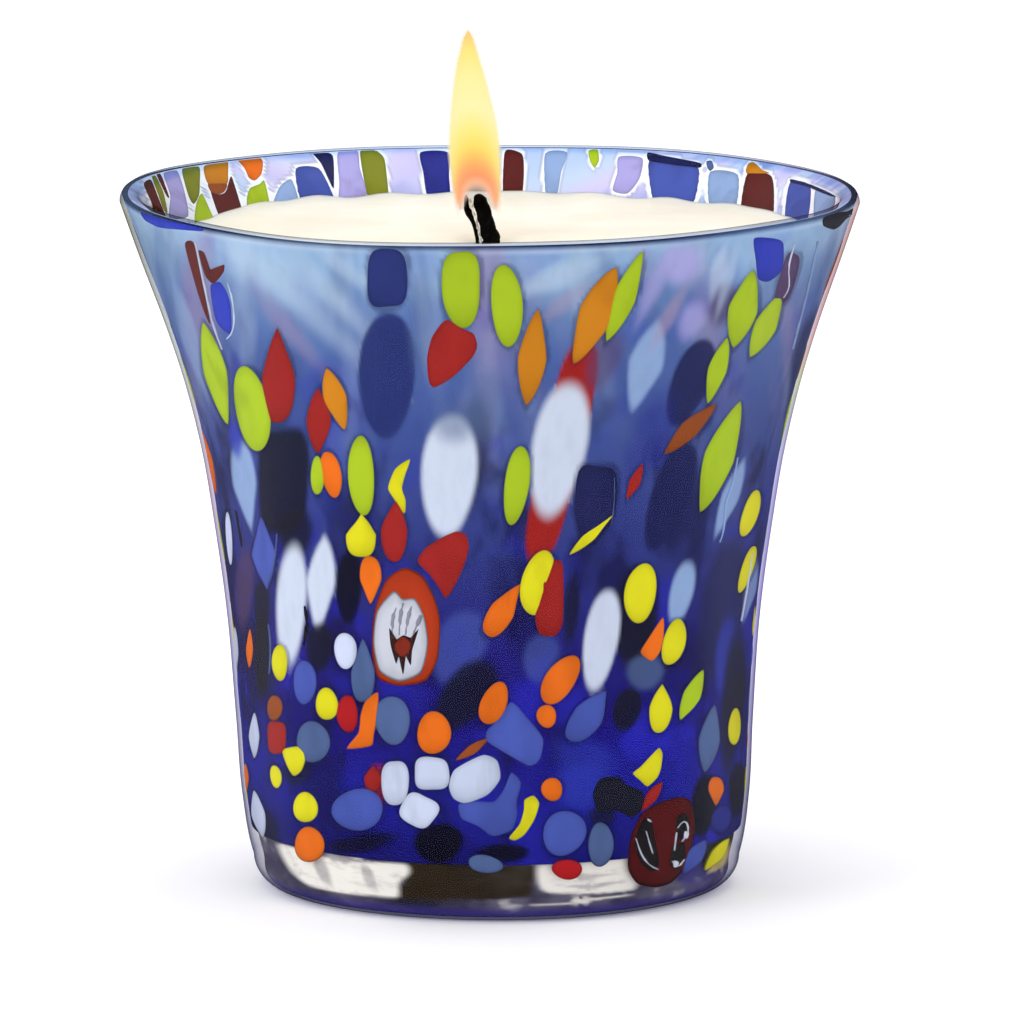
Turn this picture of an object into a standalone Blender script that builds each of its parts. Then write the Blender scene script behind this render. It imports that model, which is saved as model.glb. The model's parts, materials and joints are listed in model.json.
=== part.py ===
"""Poured candle in a hand-blown tumbler of cased, colour-chipped glass.

Metres, +Z up, origin under the centre of the foot; the front of the tumbler faces -Y.
Every layer is a solid of its own, a small gap away from its neighbours.
"""

import math

import bmesh
import bpy

# ---------------------------------------------------------------- driving dimensions (metres)
MM = 0.001
GAP = 0.3 * MM                   # clearance between neighbouring solids
RIM_HEIGHT = 91.0 * MM           # top of the glass lip
RIM_RADIUS = 47.7 * MM           # widest point of the flared lip
FOOT_CORNER = 4.0 * MM           # rounding between the foot and the wall
FOOT_RING_INNER = 23.5 * MM      # the tumbler stands on a flat ring from here outwards
PUNT_DEPTH = 0.9 * MM            # ground hollow inside that ring
PUNT_SLOPE_WIDTH = 1.5 * MM
FLOOR_HEIGHT = 11.5 * MM         # inside floor of the tumbler, on top of the clear base
FLOOR_FILLET = 3.0 * MM          # rounding between the floor and the inner wall
INNER_WALL_START = 12.0 * MM     # above the floor, where the inner wall runs parallel to the outer one
WALL_AT_LIP = 2.6 * MM
WALL_AT_FLOOR = 4.2 * MM
LIP_ARC_START = 140              # degrees: where the lip's rounding begins on the inside
COLOUR_LOW = 8.6 * MM            # the coloured layer stops here and leaves the base clear
COLOUR_TOP = 89.4 * MM           # and here, just under the lip
CASING_THICKNESS = 0.7 * MM
CHIP_THICKNESS = 0.5 * MM
SEAT_STEP = 0.05 * MM            # tiny draft at the ends of the casing's seat
SKIN_FADE = 1.6 * MM             # the clear foot swells out to the chips' level over this height
WAX_HEIGHT = 84.9 * MM           # level of the set wax
WAX_CLIMB = 0.7 * MM             # how far the wax clings up the glass at its edge
WAX_CLIMB_WIDTH = 3.0 * MM       # how far in from the glass that edge begins to rise
WAX_CLIMB_BEND = 1.0 * MM        # and where it turns steep, a quarter of the way up
WAX_SIDE_LOW = 6.0 * MM          # above the floor, where the wax's side meets its rounded bottom
WICK_RADIUS = 1.3 * MM
WICK_CORE_RADIUS = 0.3 * MM
WICK_WELL_RADIUS = 4.5 * MM      # shallow well that the flame melts round the wick
WICK_WELL_DEPTH = 1.1 * MM
WICK_WELL_BEND = (0.6, 0.75)     # shares of the well's radius and depth at the bend in its side
WICK_TIP = (-1.9 * MM, 0.0, 90.9 * MM)
SUSTAINER_RADIUS = 10.0 * MM
SUSTAINER_SHEET = 0.4 * MM
SUSTAINER_NECK_HEIGHT = 5.5 * MM
SUSTAINER_NECK_FILLET = 1.0 * MM
ADHESIVE_RADIUS = 8.0 * MM
ADHESIVE_THICKNESS = 0.8 * MM
WICK_BOW = 0.15 * MM             # sideways bow of the exposed strands
WICK_CURL = 1.4                  # how late along its rise the exposed wick leans over
FLAME_BOTTOM = -2.2 * MM         # flame heights are measured from the wick's tip
FLAME_LENGTH = 24.3 * MM
FLAME_RADIUS = 3.5 * MM
FLAME_LEAN = math.radians(-2.5)
FLAME_SKIN = 0.5 * MM
FLAME_SHOULDER = 0.3             # share of the flame's length where it starts to taper
FLAME_TAPER = 0.85               # below 1 the taper is full-bodied, above 1 it is hollow
FLAME_MOUTH = 0.36               # how far the belly is drawn in at the open bottom (0.5 is not at all)
FLAME_BELLY_RISE = 0.55
MANTLE_HOLLOW_TOP = 0.88         # share of the length reached by the mantle's hollow
BODY_SHARES = (0.16, 0.85)       # shares of the length between which the bright body lies

# Height and radius of the outer wall from the foot to the lip, in millimetres.
WALL_STATIONS = ((0.0, 30.2), (4.0, 31.7), (12.0, 33.1), (22.0, 33.8), (35.0, 34.7), (48.0, 36.5),
                 (58.0, 38.1), (66.0, 40.0), (74.0, 42.5), (82.0, 45.3), (91.0, 48.4))
SIGHT_SLOPE = 0.15               # chip heights are read along a sight line that falls this steeply

# Exposed wick: sideways offset, share of the wick's rise and radii of each strand, in millimetres.
THICK_STRAND = (0.60, 1.0, (0.45, 0.72, 0.72, 0.72, 0.72, 0.66, 0.40))
THIN_STRAND = (-1.30, 0.93, (0.25, 0.36, 0.36, 0.36, 0.36, 0.32, 0.20))
CORE_STRAND = (-0.53, 0.8, (0.10, 0.10, 0.10, 0.10, 0.10, 0.10, 0.10))

# Faces round each turned piece.
ROUND_STEPS = 64
WAX_STEPS = 48
SMALL_STEPS = 32
FLAME_STEPS = 24
BRAID_STEPS = 16
CORE_STEPS = 12

GLASS_COLOURS = {
    "lime": (0.36, 0.55, 0.03), "yellow": (0.75, 0.66, 0.02), "ochre": (0.60, 0.22, 0.01),
    "orange": (0.90, 0.17, 0.01), "red": (0.40, 0.02, 0.01), "white": (0.66, 0.72, 0.84),
    "periwinkle": (0.08, 0.11, 0.45), "navy": (0.02, 0.02, 0.13), "dark": (0.015, 0.015, 0.03),
    "slate": (0.09, 0.16, 0.28), "maroon": (0.12, 0.02, 0.01),
}

# Larger chips: colour, across, up, width, length (millimetres in the front elevation), lean (degrees).
FRONT_CHIPS = (
    ("navy", -13.8, 74.6, 7.0, 14.5, 0), ("lime", -3.9, 84.2, 4.9, 8.2, 0),
    ("lime", 1.9, 82.8, 4.2, 10.0, 0), ("ochre", 13.8, 82.3, 4.9, 11.0, 10),
    ("lime", 32.8, 82.6, 5.6, 9.4, 4), ("lime", 30.2, 63.8, 6.0, 13.0, 8),
    ("red", -27.8, 74.0, 5.2, 12.4, 0), ("lime", -36.4, 74.6, 5.4, 12.5, 0),
    ("lime", -31.0, 69.8, 5.4, 10.5, -4), ("red", -5.6, 76.2, 6.4, 7.8, 14),
    ("ochre", 5.1, 73.9, 3.6, 9.4, 0), ("white", 9.2, 65.3, 6.2, 13.6, 6),
    ("red", 5.4, 52.8, 4.0, 7.0, 8), ("navy", 25.3, 72.6, 7.6, 12.0, 6),
    ("red", -22.1, 68.6, 3.4, 8.5, 0), ("white", -5.2, 62.0, 7.6, 15.0, 0),
    ("lime", 2.4, 61.2, 3.4, 9.4, 0), ("dark", -26.3, 56.6, 9.6, 12.0, 0),
    ("lime", -16.8, 60.2, 3.7, 11.0, 0), ("navy", 14.0, 55.2, 7.0, 9.8, 4),
    ("navy", 23.8, 57.0, 7.6, 13.0, 6), ("white", -26.6, 42.6, 5.4, 13.5, 0),
    ("white", -21.6, 46.2, 4.4, 11.5, 0), ("red", -5.6, 48.4, 6.0, 8.0, 20),
    ("yellow", 6.1, 44.0, 4.7, 8.5, 5), ("yellow", 19.8, 45.4, 4.8, 7.8, 0),
    ("white", 13.6, 39.4, 4.8, 12.5, 5), ("white", 25.2, 44.4, 4.4, 9.0, 4),
    ("orange", 7.2, 33.6, 4.2, 6.2, 14), ("periwinkle", 2.7, 26.2, 7.2, 7.6, 0),
    ("orange", -7.5, 25.8, 4.4, 5.6, 0), ("slate", -13.1, 28.2, 5.0, 7.6, 0),
    ("white", -8.3, 18.8, 4.6, 4.8, 0), ("white", -2.4, 17.8, 5.8, 5.2, 0),
    ("periwinkle", -17.2, 16.4, 8.0, 6.2, 0), ("periwinkle", 8.8, 14.6, 6.8, 6.2, 0),
    ("dark", 15.6, 21.4, 7.0, 5.8, 0), ("yellow", 21.8, 29.5, 4.0, 6.8, 4),
)
STAR_MURRINA = ("star_murrina", -11.6, 38.2, 7.8, 12.0, -4)
RED_MURRINA = ("red_murrina", 22.0, 16.6, 7.4, 10.4, 8)

# Chips round the back: colour, bearing (degrees from the front), height, width, length (millimetres).
BACK_CHIPS = (
    ("maroon", 176, 82.0, 5.5, 9.0), ("lime", 196, 80.0, 4.6, 10.0), ("navy", 152, 80.5, 7.5, 9.5),
    ("ochre", 222, 79.0, 5.0, 10.0), ("red", 128, 70.0, 5.2, 11.0), ("white", 205, 62.0, 7.0, 14.0),
    ("yellow", 160, 50.0, 5.0, 9.0), ("periwinkle", 240, 44.0, 7.0, 9.0),
)


# ---------------------------------------------------------------- helpers
def clear_scene():
    for obj in list(bpy.data.objects):
        bpy.data.objects.remove(obj, do_unlink=True)


def make_collection(name):
    collection = bpy.data.collections.new(name)
    bpy.context.scene.collection.children.link(collection)
    return collection


def make_material(name, colour, roughness, metallic=0.0, alpha=1.0):
    """The Principled material of that name, made on first use."""
    if name in bpy.data.materials:
        return bpy.data.materials[name]
    material = bpy.data.materials.new(name)
    material.use_nodes = True
    shader = material.node_tree.nodes["Principled BSDF"]
    shader.inputs["Base Color"].default_value = (*colour, 1.0)
    shader.inputs["Roughness"].default_value = roughness
    shader.inputs["Metallic"].default_value = metallic
    shader.inputs["Alpha"].default_value = alpha
    return material


def add_object(name, data, material, parent=None):
    """Link a new object, in its parent's place when it has one."""
    data.materials.append(material)
    obj = bpy.data.objects.new(name, data)
    CANDLE_PARTS.objects.link(obj)
    obj.parent = parent
    return obj


def add_pivot(name, location):
    pivot = bpy.data.objects.new(name, None)
    pivot.location = location
    CANDLE_PARTS.objects.link(pivot)
    return pivot


def turned(name, profile, material, closed, steps=ROUND_STEPS, parent=None):
    """Solid of revolution about Z from (radius, height) points that run down the outer side.

    A closed profile is a ring that stays off the axis; an open one starts and ends on it.
    """
    mesh = bpy.data.meshes.new(name)
    count = len(profile)
    edges = [(i, i + 1) for i in range(count - 1)]
    if closed:
        edges.append((count - 1, 0))
    mesh.from_pydata([(radius, 0.0, height) for radius, height in profile], edges, [])
    obj = add_object(name, mesh, material, parent)
    screw = obj.modifiers.new("Turn", "SCREW")
    screw.steps = steps
    screw.render_steps = steps
    screw.use_merge_vertices = True
    screw.merge_threshold = 0.01 * MM
    screw.use_smooth_shade = True
    return obj


def thread(name, points, radii, material, parent=None):
    """Round strand along the points, with filled ends."""
    curve = bpy.data.curves.new(name, "CURVE")
    curve.dimensions = "3D"
    curve.bevel_depth = 1.0
    curve.bevel_resolution = 2
    curve.resolution_u = 3
    curve.use_fill_caps = True
    spline = curve.splines.new("POLY")
    spline.points.add(len(points) - 1)
    for point, place, radius in zip(spline.points, points, radii):
        point.co = (*place, 1.0)
        point.radius = radius
    return add_object(name, curve, material, parent)


def spread(low, high, count):
    """Evenly spaced values from low to high, both included."""
    return [low + (high - low) * i / (count - 1) for i in range(count)]


# ---------------------------------------------------------------- the tumbler's outline
def wall_radius(height):
    """Outer radius of the wall: a smooth curve through the stations."""
    level = height / MM
    stations = WALL_STATIONS
    last = len(stations) - 2
    index = max(i for i in range(last + 1) if i == 0 or stations[i][0] <= level)
    (z0, r0), (z1, r1) = stations[index], stations[index + 1]
    before = stations[max(index - 1, 0)]
    after = stations[min(index + 2, last + 1)]
    slope0 = (r1 - before[1]) / (z1 - before[0])
    slope1 = (after[1] - r0) / (after[0] - z0)
    span = z1 - z0
    t = (level - z0) / span
    radius = ((2 * t**3 - 3 * t**2 + 1) * r0 + (t**3 - 2 * t**2 + t) * span * slope0
              + (3 * t**2 - 2 * t**3) * r1 + (t**3 - t**2) * span * slope1)
    return radius * MM


def inner_radius(height):
    """Inside radius of the tumbler, with the wall growing thicker towards the floor."""
    share = (RIM_HEIGHT - height) / (RIM_HEIGHT - FLOOR_HEIGHT)
    return wall_radius(height) - WALL_AT_LIP - (WALL_AT_FLOOR - WALL_AT_LIP) * share


def arc(centre_radius, centre_height, radius, start, end, count):
    """Points on an arc; angles in degrees from the outward direction, turning upwards."""
    points = []
    for angle in spread(math.radians(start), math.radians(end), count):
        points.append((centre_radius + radius * math.cos(angle), centre_height + radius * math.sin(angle)))
    return points


# ---------------------------------------------------------------- glass
def glass_cup():
    """Clear gather: lip, inner wall and thick base, with a seat for the coloured layer."""
    skin = CHIP_THICKNESS + GAP
    seat_depth = skin + CASING_THICKNESS + GAP
    lip_radius = WALL_AT_LIP / 2
    lip_centre = RIM_RADIUS - lip_radius
    lip_height = RIM_HEIGHT - lip_radius
    foot_radius = wall_radius(FOOT_CORNER)
    fillet_height = FLOOR_HEIGHT + FLOOR_FILLET
    profile = [(0.0, FLOOR_HEIGHT)]
    profile += arc(inner_radius(fillet_height) - FLOOR_FILLET, fillet_height, FLOOR_FILLET, -90, 0, 4)
    profile += [(inner_radius(z), z) for z in spread(FLOOR_HEIGHT + INNER_WALL_START, lip_height, 8)]
    profile += arc(lip_centre, lip_height, lip_radius, LIP_ARC_START, 0, 6)
    seat_top = COLOUR_TOP + GAP
    seat_low = COLOUR_LOW - GAP
    profile += [(wall_radius(seat_top) - skin, seat_top)]
    seat_heights = spread(seat_top - SEAT_STEP, seat_low + SEAT_STEP, 10)
    profile += [(wall_radius(z) - seat_depth, z) for z in seat_heights]
    profile += [(wall_radius(seat_low) - skin, seat_low), (wall_radius(seat_low), seat_low - SKIN_FADE)]
    profile += arc(foot_radius - FOOT_CORNER, FOOT_CORNER, FOOT_CORNER, 0, -90, 5)
    profile += [(FOOT_RING_INNER, 0.0), (FOOT_RING_INNER - PUNT_SLOPE_WIDTH, PUNT_DEPTH), (0.0, PUNT_DEPTH)]
    glass = make_material("clear_glass", (0.80, 0.86, 0.92), 0.04, alpha=0.35)
    turned("glass_cup", profile, glass, closed=False)


def colour_casing():
    """Coloured glass skin over the gather, opal at the top and cobalt below."""
    outer_inset = CHIP_THICKNESS + GAP
    heights = spread(COLOUR_TOP, COLOUR_LOW, 11)
    outer = [(wall_radius(z) - outer_inset, z) for z in heights]
    inner = [(radius - CASING_THICKNESS, z) for radius, z in reversed(outer)]
    glass = make_material("colour_glass", (0.06, 0.08, 0.46), 0.06)
    turned("colour_casing", outer + inner, glass, closed=True)


def wrap_on_wall(mesh, bearing, height, lean):
    """Bend a flat lens (X across, Y along, Z through) onto the wall at a bearing and height."""
    cos_lean, sin_lean = math.cos(lean), math.sin(lean)
    for vertex in mesh.vertices:
        across = vertex.co.x * cos_lean + vertex.co.y * sin_lean
        level = height + vertex.co.y * cos_lean - vertex.co.x * sin_lean
        radius = wall_radius(level) - CHIP_THICKNESS / 2 + vertex.co.z
        angle = bearing + across / wall_radius(height)
        vertex.co = (radius * math.sin(angle), -radius * math.cos(angle), level)


def glass_chip(name, colour, bearing, height, width, length, lean):
    """Flattened drop of glass that lies flush in the wall."""
    bm = bmesh.new()
    bmesh.ops.create_uvsphere(bm, u_segments=14, v_segments=5, radius=0.5)
    bmesh.ops.scale(bm, vec=(width, length, CHIP_THICKNESS), verts=bm.verts)
    mesh = bpy.data.meshes.new(name)
    bm.to_mesh(mesh)
    bm.free()
    wrap_on_wall(mesh, bearing, height, lean)
    mesh.shade_smooth()
    add_object(name, mesh, make_material("glass_" + colour, GLASS_COLOURS[colour], 0.06))


def seen_place(across, up):
    """Bearing and height of the wall point seen at this place of the front elevation."""
    height = up
    for _ in range(4):
        bearing = math.asin(across / wall_radius(height))
        height = up - SIGHT_SLOPE * wall_radius(height) * (1 - math.cos(bearing))
    return bearing, height


def glass_chips():
    counts = {}
    for colour, across, up, width, length, lean in FRONT_CHIPS:
        counts[colour] = counts.get(colour, 0) + 1
        bearing, height = seen_place(across * MM, up * MM)
        name = f"chip_{colour}_{counts[colour]}"
        glass_chip(name, colour, bearing, height, width * MM, length * MM, math.radians(lean))
    for colour, bearing, height, width, length in BACK_CHIPS:
        counts[colour] = counts.get(colour, 0) + 1
        name = f"chip_{colour}_{counts[colour]}"
        glass_chip(name, colour, math.radians(bearing), height * MM, width * MM, length * MM, 0.0)


def murrine():
    """The two patterned cane slices: a pale one with a star, a dark red one near the foot."""
    for murrina, colour in ((STAR_MURRINA, "white"), (RED_MURRINA, "maroon")):
        name, across, up, width, length, lean = murrina
        bearing, height = seen_place(across * MM, up * MM)
        glass_chip(name, colour, bearing, height, width * MM, length * MM, math.radians(lean))


# ---------------------------------------------------------------- candle
def wax_fill():
    """Set wax, cast in the tumbler round the wick and its holder."""
    bore = WICK_RADIUS + GAP
    top = WAX_HEIGHT
    floor = FLOOR_HEIGHT + GAP
    pad_top = FLOOR_HEIGHT + 2 * GAP + ADHESIVE_THICKNESS
    disc_top = pad_top + GAP + SUSTAINER_SHEET
    neck_top = disc_top + SUSTAINER_NECK_HEIGHT
    neck_radius = WICK_RADIUS + 2 * GAP + SUSTAINER_SHEET
    edge = inner_radius(top + WAX_CLIMB) - GAP
    fillet_centre = inner_radius(FLOOR_HEIGHT + FLOOR_FILLET) - GAP - FLOOR_FILLET
    profile = [(WICK_WELL_RADIUS, top), (edge - WAX_CLIMB_WIDTH, top)]
    profile += [(edge - WAX_CLIMB_BEND, top + WAX_CLIMB / 4), (edge, top + WAX_CLIMB)]
    profile += [(inner_radius(z) - GAP, z) for z in spread(top, FLOOR_HEIGHT + WAX_SIDE_LOW, 9)]
    profile += arc(fillet_centre, floor + FLOOR_FILLET, FLOOR_FILLET, 0, -90, 4)
    disc_room = SUSTAINER_RADIUS + GAP
    neck_room = neck_radius + GAP
    profile += [(disc_room, floor), (disc_room, disc_top + GAP), (neck_room, disc_top + GAP)]
    profile += [(neck_room, neck_top + GAP), (bore, neck_top + GAP), (bore, top - WICK_WELL_DEPTH)]
    bend_radius, bend_depth = WICK_WELL_BEND
    profile += [(bend_radius * WICK_WELL_RADIUS, top - bend_depth * WICK_WELL_DEPTH)]
    wax = make_material("cream_wax", (0.91, 0.84, 0.72), 0.55)
    turned("wax_fill", profile, wax, closed=True, steps=WAX_STEPS)


def sustainer():
    """Pressed tinplate disc with a neck that grips the foot of the wick, on its adhesive pad."""
    pad_low = FLOOR_HEIGHT + GAP
    pad_top = pad_low + ADHESIVE_THICKNESS
    disc_low = pad_top + GAP
    disc_top = disc_low + SUSTAINER_SHEET
    neck_top = disc_top + SUSTAINER_NECK_HEIGHT
    bore = WICK_RADIUS + GAP
    neck = bore + SUSTAINER_SHEET
    fillet = SUSTAINER_NECK_FILLET
    profile = [(bore, neck_top), (neck, neck_top), (neck, disc_top + fillet), (neck + fillet, disc_top)]
    profile += [(SUSTAINER_RADIUS, disc_top), (SUSTAINER_RADIUS, disc_low), (bore, disc_low)]
    tin = make_material("tinplate", (0.62, 0.63, 0.64), 0.28, metallic=1.0)
    turned("wick_sustainer", profile, tin, closed=True, steps=SMALL_STEPS)
    pad = make_material("adhesive", (0.80, 0.78, 0.70), 0.5)
    pad_profile = [(0.0, pad_top), (ADHESIVE_RADIUS, pad_top), (ADHESIVE_RADIUS, pad_low), (0.0, pad_low)]
    turned("adhesive_pad", pad_profile, pad, closed=False, steps=SMALL_STEPS)


def buried_wick():
    """Braided cotton sleeve and its core thread, from the disc up to the melt well."""
    low = FLOOR_HEIGHT + 3 * GAP + ADHESIVE_THICKNESS + SUSTAINER_SHEET
    high = WAX_HEIGHT - WICK_WELL_DEPTH - GAP
    sleeve_bore = WICK_CORE_RADIUS + GAP
    cotton = make_material("waxed_cotton", (0.78, 0.70, 0.56), 0.8)
    sleeve = [(sleeve_bore, high), (WICK_RADIUS, high), (WICK_RADIUS, low), (sleeve_bore, low)]
    turned("wick_braid", sleeve, cotton, closed=True, steps=BRAID_STEPS)
    core = [(0.0, high), (WICK_CORE_RADIUS, high), (WICK_CORE_RADIUS, low), (0.0, low)]
    turned("wick_core", core, cotton, closed=False, steps=CORE_STEPS)


def exposed_wick(pivot):
    """Charred wick end: a thick and a thin strand with the pale core thread between them."""
    rise = WICK_TIP[2] - pivot.location.z
    lean = WICK_TIP[0]
    char = make_material("charred_cotton", (0.015, 0.013, 0.012), 0.9)
    pale = make_material("core_thread", (0.75, 0.72, 0.66), 0.8)

    def strand(name, shape, material):
        """One strand, up to its share of the wick's rise."""
        offset, share, radii = shape
        points = []
        for t in spread(0.0, share, len(radii)):
            bow = WICK_BOW * math.sin(math.pi * t)
            points.append((offset * MM + lean * t**WICK_CURL + bow, 0.0, GAP + (rise - GAP) * t))
        thread(name, points, [radius * MM for radius in radii], material, pivot)

    strand("wick_strand_thick", THICK_STRAND, char)
    strand("wick_strand_thin", THIN_STRAND, char)
    strand("wick_core_tip", CORE_STRAND, pale)


def flame_radius(share):
    """Flame radius at a share of its length: a round-shouldered drop with a long point."""
    belly = math.sin(math.pi * min(0.5, FLAME_MOUTH + share * FLAME_BELLY_RISE))
    taper = 1.0
    if share > FLAME_SHOULDER:
        taper = math.cos((share - FLAME_SHOULDER) / (1 - FLAME_SHOULDER) * math.pi / 2) ** FLAME_TAPER
    return FLAME_RADIUS * belly * taper


def flame(pivot):
    """Luminous mantle, open below where it wraps the wick, and the bright body inside it."""
    pivot.rotation_euler.y = FLAME_LEAN

    def side(high, low, count, inset):
        """Points of the flame's side between two shares of its length, inset from its outside."""
        points = []
        for share in spread(high, low, count):
            points.append((max(flame_radius(share) - inset, 0.0), FLAME_BOTTOM + FLAME_LENGTH * share))
        return points

    outer = side(1.0, 0.0, 13, 0.0)
    outer[0] = (0.0, outer[0][1])
    inner = side(0.0, MANTLE_HOLLOW_TOP, 11, FLAME_SKIN)
    inner[-1] = (0.0, inner[-1][1])
    mantle = make_material("flame_mantle", (1.0, 0.62, 0.30), 1.0)
    turned("flame_mantle", outer + inner, mantle, closed=False, steps=FLAME_STEPS, parent=pivot)
    low, high = BODY_SHARES
    body = side(high, low, 11, FLAME_SKIN + GAP)
    body[0] = (0.0, body[0][1])
    body.append((0.0, FLAME_BOTTOM + FLAME_LENGTH * low))
    bright = make_material("flame_body", (1.0, 0.90, 0.55), 1.0)
    turned("flame_body", body, bright, closed=False, steps=FLAME_STEPS, parent=pivot)


# ---------------------------------------------------------------- assembly
clear_scene()
CANDLE_PARTS = make_collection("glass_candle")
glass_cup()
colour_casing()
glass_chips()
murrine()
wax_fill()
sustainer()
buried_wick()
exposed_wick(add_pivot("wick_pivot", (0.0, 0.0, WAX_HEIGHT - WICK_WELL_DEPTH)))
flame(add_pivot("flame_pivot", WICK_TIP))
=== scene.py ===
import json
import math
from collections import defaultdict

import bpy
import numpy as np
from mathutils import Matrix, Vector


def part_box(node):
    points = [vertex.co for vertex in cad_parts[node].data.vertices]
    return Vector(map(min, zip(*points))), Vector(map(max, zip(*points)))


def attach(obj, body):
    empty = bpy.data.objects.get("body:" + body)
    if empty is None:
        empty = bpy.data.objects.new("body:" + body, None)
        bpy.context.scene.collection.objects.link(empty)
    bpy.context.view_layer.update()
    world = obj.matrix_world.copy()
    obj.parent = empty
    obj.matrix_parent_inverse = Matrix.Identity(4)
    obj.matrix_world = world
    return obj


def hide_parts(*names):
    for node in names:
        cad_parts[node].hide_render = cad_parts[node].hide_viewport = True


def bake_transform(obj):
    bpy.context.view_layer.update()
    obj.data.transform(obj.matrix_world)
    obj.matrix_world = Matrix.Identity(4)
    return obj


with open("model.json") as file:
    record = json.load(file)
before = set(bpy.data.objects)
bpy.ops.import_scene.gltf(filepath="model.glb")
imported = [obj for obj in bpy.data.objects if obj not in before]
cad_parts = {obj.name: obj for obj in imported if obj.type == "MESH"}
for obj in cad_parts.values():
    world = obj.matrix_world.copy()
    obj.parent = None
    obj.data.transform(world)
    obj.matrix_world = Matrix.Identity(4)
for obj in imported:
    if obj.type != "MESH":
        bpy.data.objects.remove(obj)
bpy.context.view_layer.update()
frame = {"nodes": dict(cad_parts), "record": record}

MM = 0.001
RNG = np.random.default_rng(20)

# ---------------------------------------------------------------- sizes taken from the frame
CUP_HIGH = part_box("glass_cup")[1]
WAX_LOW, WAX_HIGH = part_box("wax_fill")
JOINTS = {joint["name"]: joint for joint in frame["record"]["behaviour"]["joints"]}
WICK_ROOT = Vector(JOINTS["wick_bend"]["pos_m"])
RIM_HEIGHT = CUP_HIGH[2]
WAX_CLIMB = 0.7 * MM
WAX_LEVEL = WAX_HIGH[2] - WAX_CLIMB
WAX_FLOOR = WAX_LOW[2]
GLASS_FLOOR = WAX_FLOOR - 0.3 * MM

# ---------------------------------------------------------------- the tumbler's own sizes
# Height and radius of the outer wall, in millimetres, as in the CAD part.
WALL_STATIONS = ((0.0, 30.2), (4.0, 31.7), (12.0, 33.1), (22.0, 33.8), (35.0, 34.7), (48.0, 36.5),
                 (58.0, 38.1), (66.0, 40.0), (74.0, 42.5), (82.0, 45.3), (91.0, 48.4))
SHIFT_AT_FOOT = 0.54 * MM        # the hand-blown wall's axis leans a little
SHIFT_AT_RIM = -0.32 * MM
WALL_AT_LIP = 2.6 * MM
FLOOR_CORNER = 2.0 * MM          # rounding between the floor and the inner wall
COLOUR_LOW = 7.9 * MM            # the coloured glass begins above the clear base
COLOUR_TOP = RIM_HEIGHT - 0.42 * MM
SKIN = 0.60 * MM                 # clear glass outside the colour
COLOUR = 0.8 * MM                # thickness of the coloured layer
LINING = 0.22 * MM               # opal lining inside the coloured layer, at the lip
LINING_GAP = 0.30 * MM           # from the lining to the inner side of the clear glass
THICKEN = 4.4 * MM               # how much thicker the lining is at the wax and below
FOOT_CORNER = 4.0 * MM
FOOT_RING_INNER = 23.5 * MM
PUNT_DEPTH = 0.9 * MM
CHIP_CROWN = 0.14 * MM
FULLNESS = 1.05                  # chips bulge this much over their listed outlines
CHIP_SINK = 0.03 * MM
CHIP_DEPTH = 0.35 * MM
CHIP_TOP = COLOUR_TOP - 0.05 * MM
REAR_CHIP_TOP = COLOUR_TOP - 0.03 * MM
THREAD_LIFT = 0.05 * MM
# The pale halos round the rear chips are painted light: backlight shining through the clear gaps round
# them.
HALO_FROM = -24.0 * MM           # the rear chips' pale halos lie behind this depth
HALO_WIDTH = 0.32                # millimetres
WICK_HOLE = 1.45 * MM            # radii of the wax round the wick and round the sustainer's neck
NECK_HOLE = 2.6 * MM
WAX_GAP = 0.25 * MM              # between the wax and the glass
WAX_CORNER = 3.0 * MM

# The camera, and the sight lines that the chips are placed along.
EYE = Vector((2.52 * MM, -2000.0 * MM, 370.1 * MM))
TARGET = Vector((2.52 * MM, 0.0, 48.8 * MM))
VIEW_WIDTH = 133.26 * MM         # width of the view at the target
FIRST_DEPTH = -40.0 * MM         # where the search for the front wall starts
SIGHT_ROUNDS = 12
GRAZING = 0.995                  # sight lines that miss the wall end at this share of its radius
MARCH_REACH = 48.0 * MM          # how far the search for the rear wall goes to each side of the axis
MARCH_STEPS = 385

# Outlines of chips: how full the top and the bottom are, from 1, a straight-sided point, by 2, an oval,
# to 4, a block.
OVAL = (2.0, 2.0)
DROP = (1.15, 2.3)
DRIP = (2.3, 1.15)
LEAF = (1.35, 1.35)
BLOCK = (3.6, 3.6)
KITE = (1.1, 1.1)


def display(red, green, blue):
    """Linear colour of a display colour given from 0 to 255."""
    def linear(value):
        share = value / 255
        return share / 12.92 if share <= 0.04045 else ((share + 0.055) / 1.055) ** 2.4
    return (linear(red), linear(green), linear(blue))


# Painted shade: the dark blue laid round the chips on the coloured layer.
OUTLINE_SHADE = display(14, 12, 50)
PAINTS = {
    "lime": display(170, 198, 32), "yellow": display(228, 222, 26), "ochre": display(206, 130, 20),
    "orange": display(236, 112, 20), "red": display(156, 32, 28), "crimson": display(178, 22, 28),
    "maroon": display(92, 26, 24), "white": display(206, 216, 240), "periwinkle": display(72, 90, 178),
    "navy": display(28, 32, 84), "dark": display(20, 20, 38), "slate": display(80, 102, 150),
    "pale": display(146, 174, 222), "azure": display(44, 60, 184), "olive": display(130, 136, 34),
    "rust": display(150, 74, 26), "plum": display(84, 62, 104), "lilac": display(176, 170, 232),
    "indigo": display(38, 44, 142), "black": display(10, 9, 20), "streak": display(186, 206, 232),
    "rose": display(170, 146, 176), "royal": display(36, 48, 112),
}

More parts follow.
